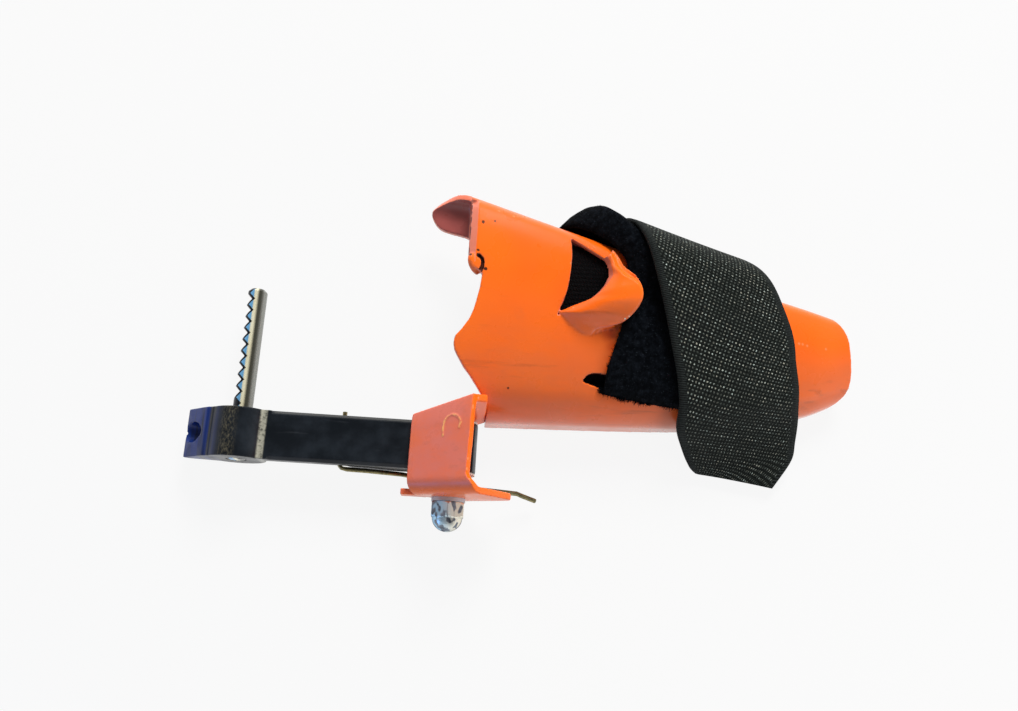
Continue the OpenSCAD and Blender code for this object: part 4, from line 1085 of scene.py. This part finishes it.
def plain(name, grain, dark, light, rough, height, depth):
    """Matt material; rough is a pair, height is (scale, detail) and depth is (millimetres, strength)."""
    p = Paint(name)
    base = p.mix(p.ramp(p.noise(grain, 3), 0.3, 0.7), dark, light)
    return p.made(base, p.ramp(p.noise(200, 3), 0.3, 0.7, *rough), p.bump(p.noise(*height), *depth))


def wear(obj, material):
    """Gives the object this material alone."""
    obj.data.materials.clear()
    obj.data.materials.append(material)


def dress_node(name, material, size_mm=None, smoothing=3):
    """A CAD node keeps its shape and gets the material, with slightly softened edges when a voxel size is
    given.
    """
    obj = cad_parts[name]
    for slot in obj.material_slots:
        slot.material = material
    if size_mm:
        voxel(obj, size_mm, smoothing)


# ---- light and floor
HORIZON, ZENITH, TENT = 0.75, 0.16, (0.96, 0.98, 1.0)
FLOOR_REACH, FLOOR_Z = 15000.0, -0.6
FLOOR_GLOW = 0.9
# name, watts, size, place, aim, colour, whether gloss shows it; in metres of the row frame
LIGHTS = [("key", 19.0, 0.5, (0.22, 0.98, 0.84), (0.03, 0.02, 0), (1.0, 0.985, 0.96), False),
          ("sheen", 1.1, 0.5, (0.05, 0.85, 0.70), (0.03, 0.02, 0), (1.0, 0.97, 0.94), True),
          ("sky", 0.07, 0.1, (-0.28, -0.22, 0.06), (-0.09, -0.04, 0.012), (0.16, 0.36, 1.0), True),
          ("front", 0.8, 0.25, (0.42, -0.25, 0.18), (0.10, -0.01, 0.01), (1, 1, 1), False)]


def area_light(name, energy, size, place, aim, colour, in_gloss):
    data = bpy.data.lights.new(name, "AREA")
    data.energy, data.size, data.color = energy, size, colour
    obj = add_object(name, data)
    obj.location = place
    obj.rotation_euler = (Vector(aim) - Vector(place)).to_track_quat("-Z", "Y").to_euler()
    obj.visible_glossy = in_gloss


def make_studio():
    scene.view_settings.view_transform = "Standard"
    world = bpy.data.worlds.new("studio")
    scene.world = world
    world.use_nodes = True
    background = world.node_tree.nodes["Background"]
    # a pale tent that is bright round the horizon and dim overhead
    n = Nodes(world.node_tree)
    background.inputs[0].default_value = (*TENT, 1)
    n.put(background.inputs[1], n.ramp(n.split(n.coords("Generated"))[2], 0.25, 0.75, HORIZON, ZENITH))
    for light in LIGHTS:
        area_light(*light)
    corners = [(x * FLOOR_REACH, y * FLOOR_REACH, FLOOR_Z) for x, y in ((-1, -1), (1, -1), (1, 1), (-1, 1))]
    floor = mesh_object("floor", corners, [(0, 1, 2, 3)])
    p = Paint("floor")
    p.put(p.bsdf.inputs["Base Color"], p.mix(p.ramp(p.noise(3, 2), 0.3, 0.7), (0.49,) * 3, (0.51,) * 3))
    p.put(p.bsdf.inputs["Roughness"], 0.8)
    # white to the camera and in gloss, and it keeps the object's shadow
    glow = p.node("ShaderNodeEmission", {0: (1.0, 1.0, 1.0), 1: 1.0})
    rays = [p.node("ShaderNodeLightPath", out=f"Is {kind} Ray")
            for kind in ("Camera", "Glossy", "Transmission")]
    seen = p.math("MAXIMUM", p.math("MAXIMUM", rays[0], rays[1]), rays[2])
    blend = p.node("ShaderNodeMixShader", {0: p.times(seen, FLOOR_GLOW), 1: p.bsdf.outputs[0], 2: glow})
    p.put(p.out.inputs[0], blend)
    wear(floor, p.mat)


make_camera()
# each paint gets painted shade and a pink painted reflection on faces that look toward its side
orange = orange_paint("orange_paint", (0, -0.8, 0.6), 0.60, 0.84, 0.62, (0.66, 0.15, 0.055), 0.6, 0.5)
bracket_orange = orange_paint("orange_bracket", (-0.61, 0, 0.79), 0.6, 0.9, 0.8, (0.80, 0.21, 0.17), 0.15, 0.12)
zinc = metal("zinc_steel", (0.30, 0.34, 0.40), (0.03, 0.035, 0.05), 0.10, 260, 0.5, 420)
# the lock washer is painted dark as the shadow between nut and bracket
shadowed_zinc = metal("zinc_painted_shadow", (0.07, 0.075, 0.085), (0.015, 0.017, 0.02), 0.3, metallic=0.3)
yellow = metal("yellow_zinc", (0.40, 0.34, 0.17), (0.16, 0.15, 0.09), 0.22, 800)
pile = loop_tape()
nylon = plain("nylon", 120, (0.66, 0.63, 0.55), (0.76, 0.73, 0.66), (0.4, 0.6), (900, 3), (0.04, 0.5))
thread = plain("thread", 1800, (0.006, 0.007, 0.010), (0.035, 0.038, 0.045), (0.8, 0.8), (2500, 2),
               (0.1, 0.6))

wear(make_cuff(), orange)
for piece, material in zip(make_strap(), (pile, hook_tape(), pile)):
    wear(piece, material)
wear(make_bracket(), bracket_orange)
wear(make_arm(), black_finish())
wear(make_weld(), orange)
wear(make_spring_leg(), yellow)
for dressing in (("toothed_pin", pin_plate(), 0.22, 3), ("set_screw", zinc, 0.12, 2),
                 ("dome_nut", zinc, 0.2, 2), ("torsion_spring", yellow, 0.22, 3),
                 ("lock_washer", shadowed_zinc), ("pivot_bolt", zinc), ("pivot_bush", zinc),
                 ("thrust_washer_upper", nylon), ("thrust_washer_lower", nylon), ("strap_stitching", thread)):
    dress_node(*dressing)
make_studio()
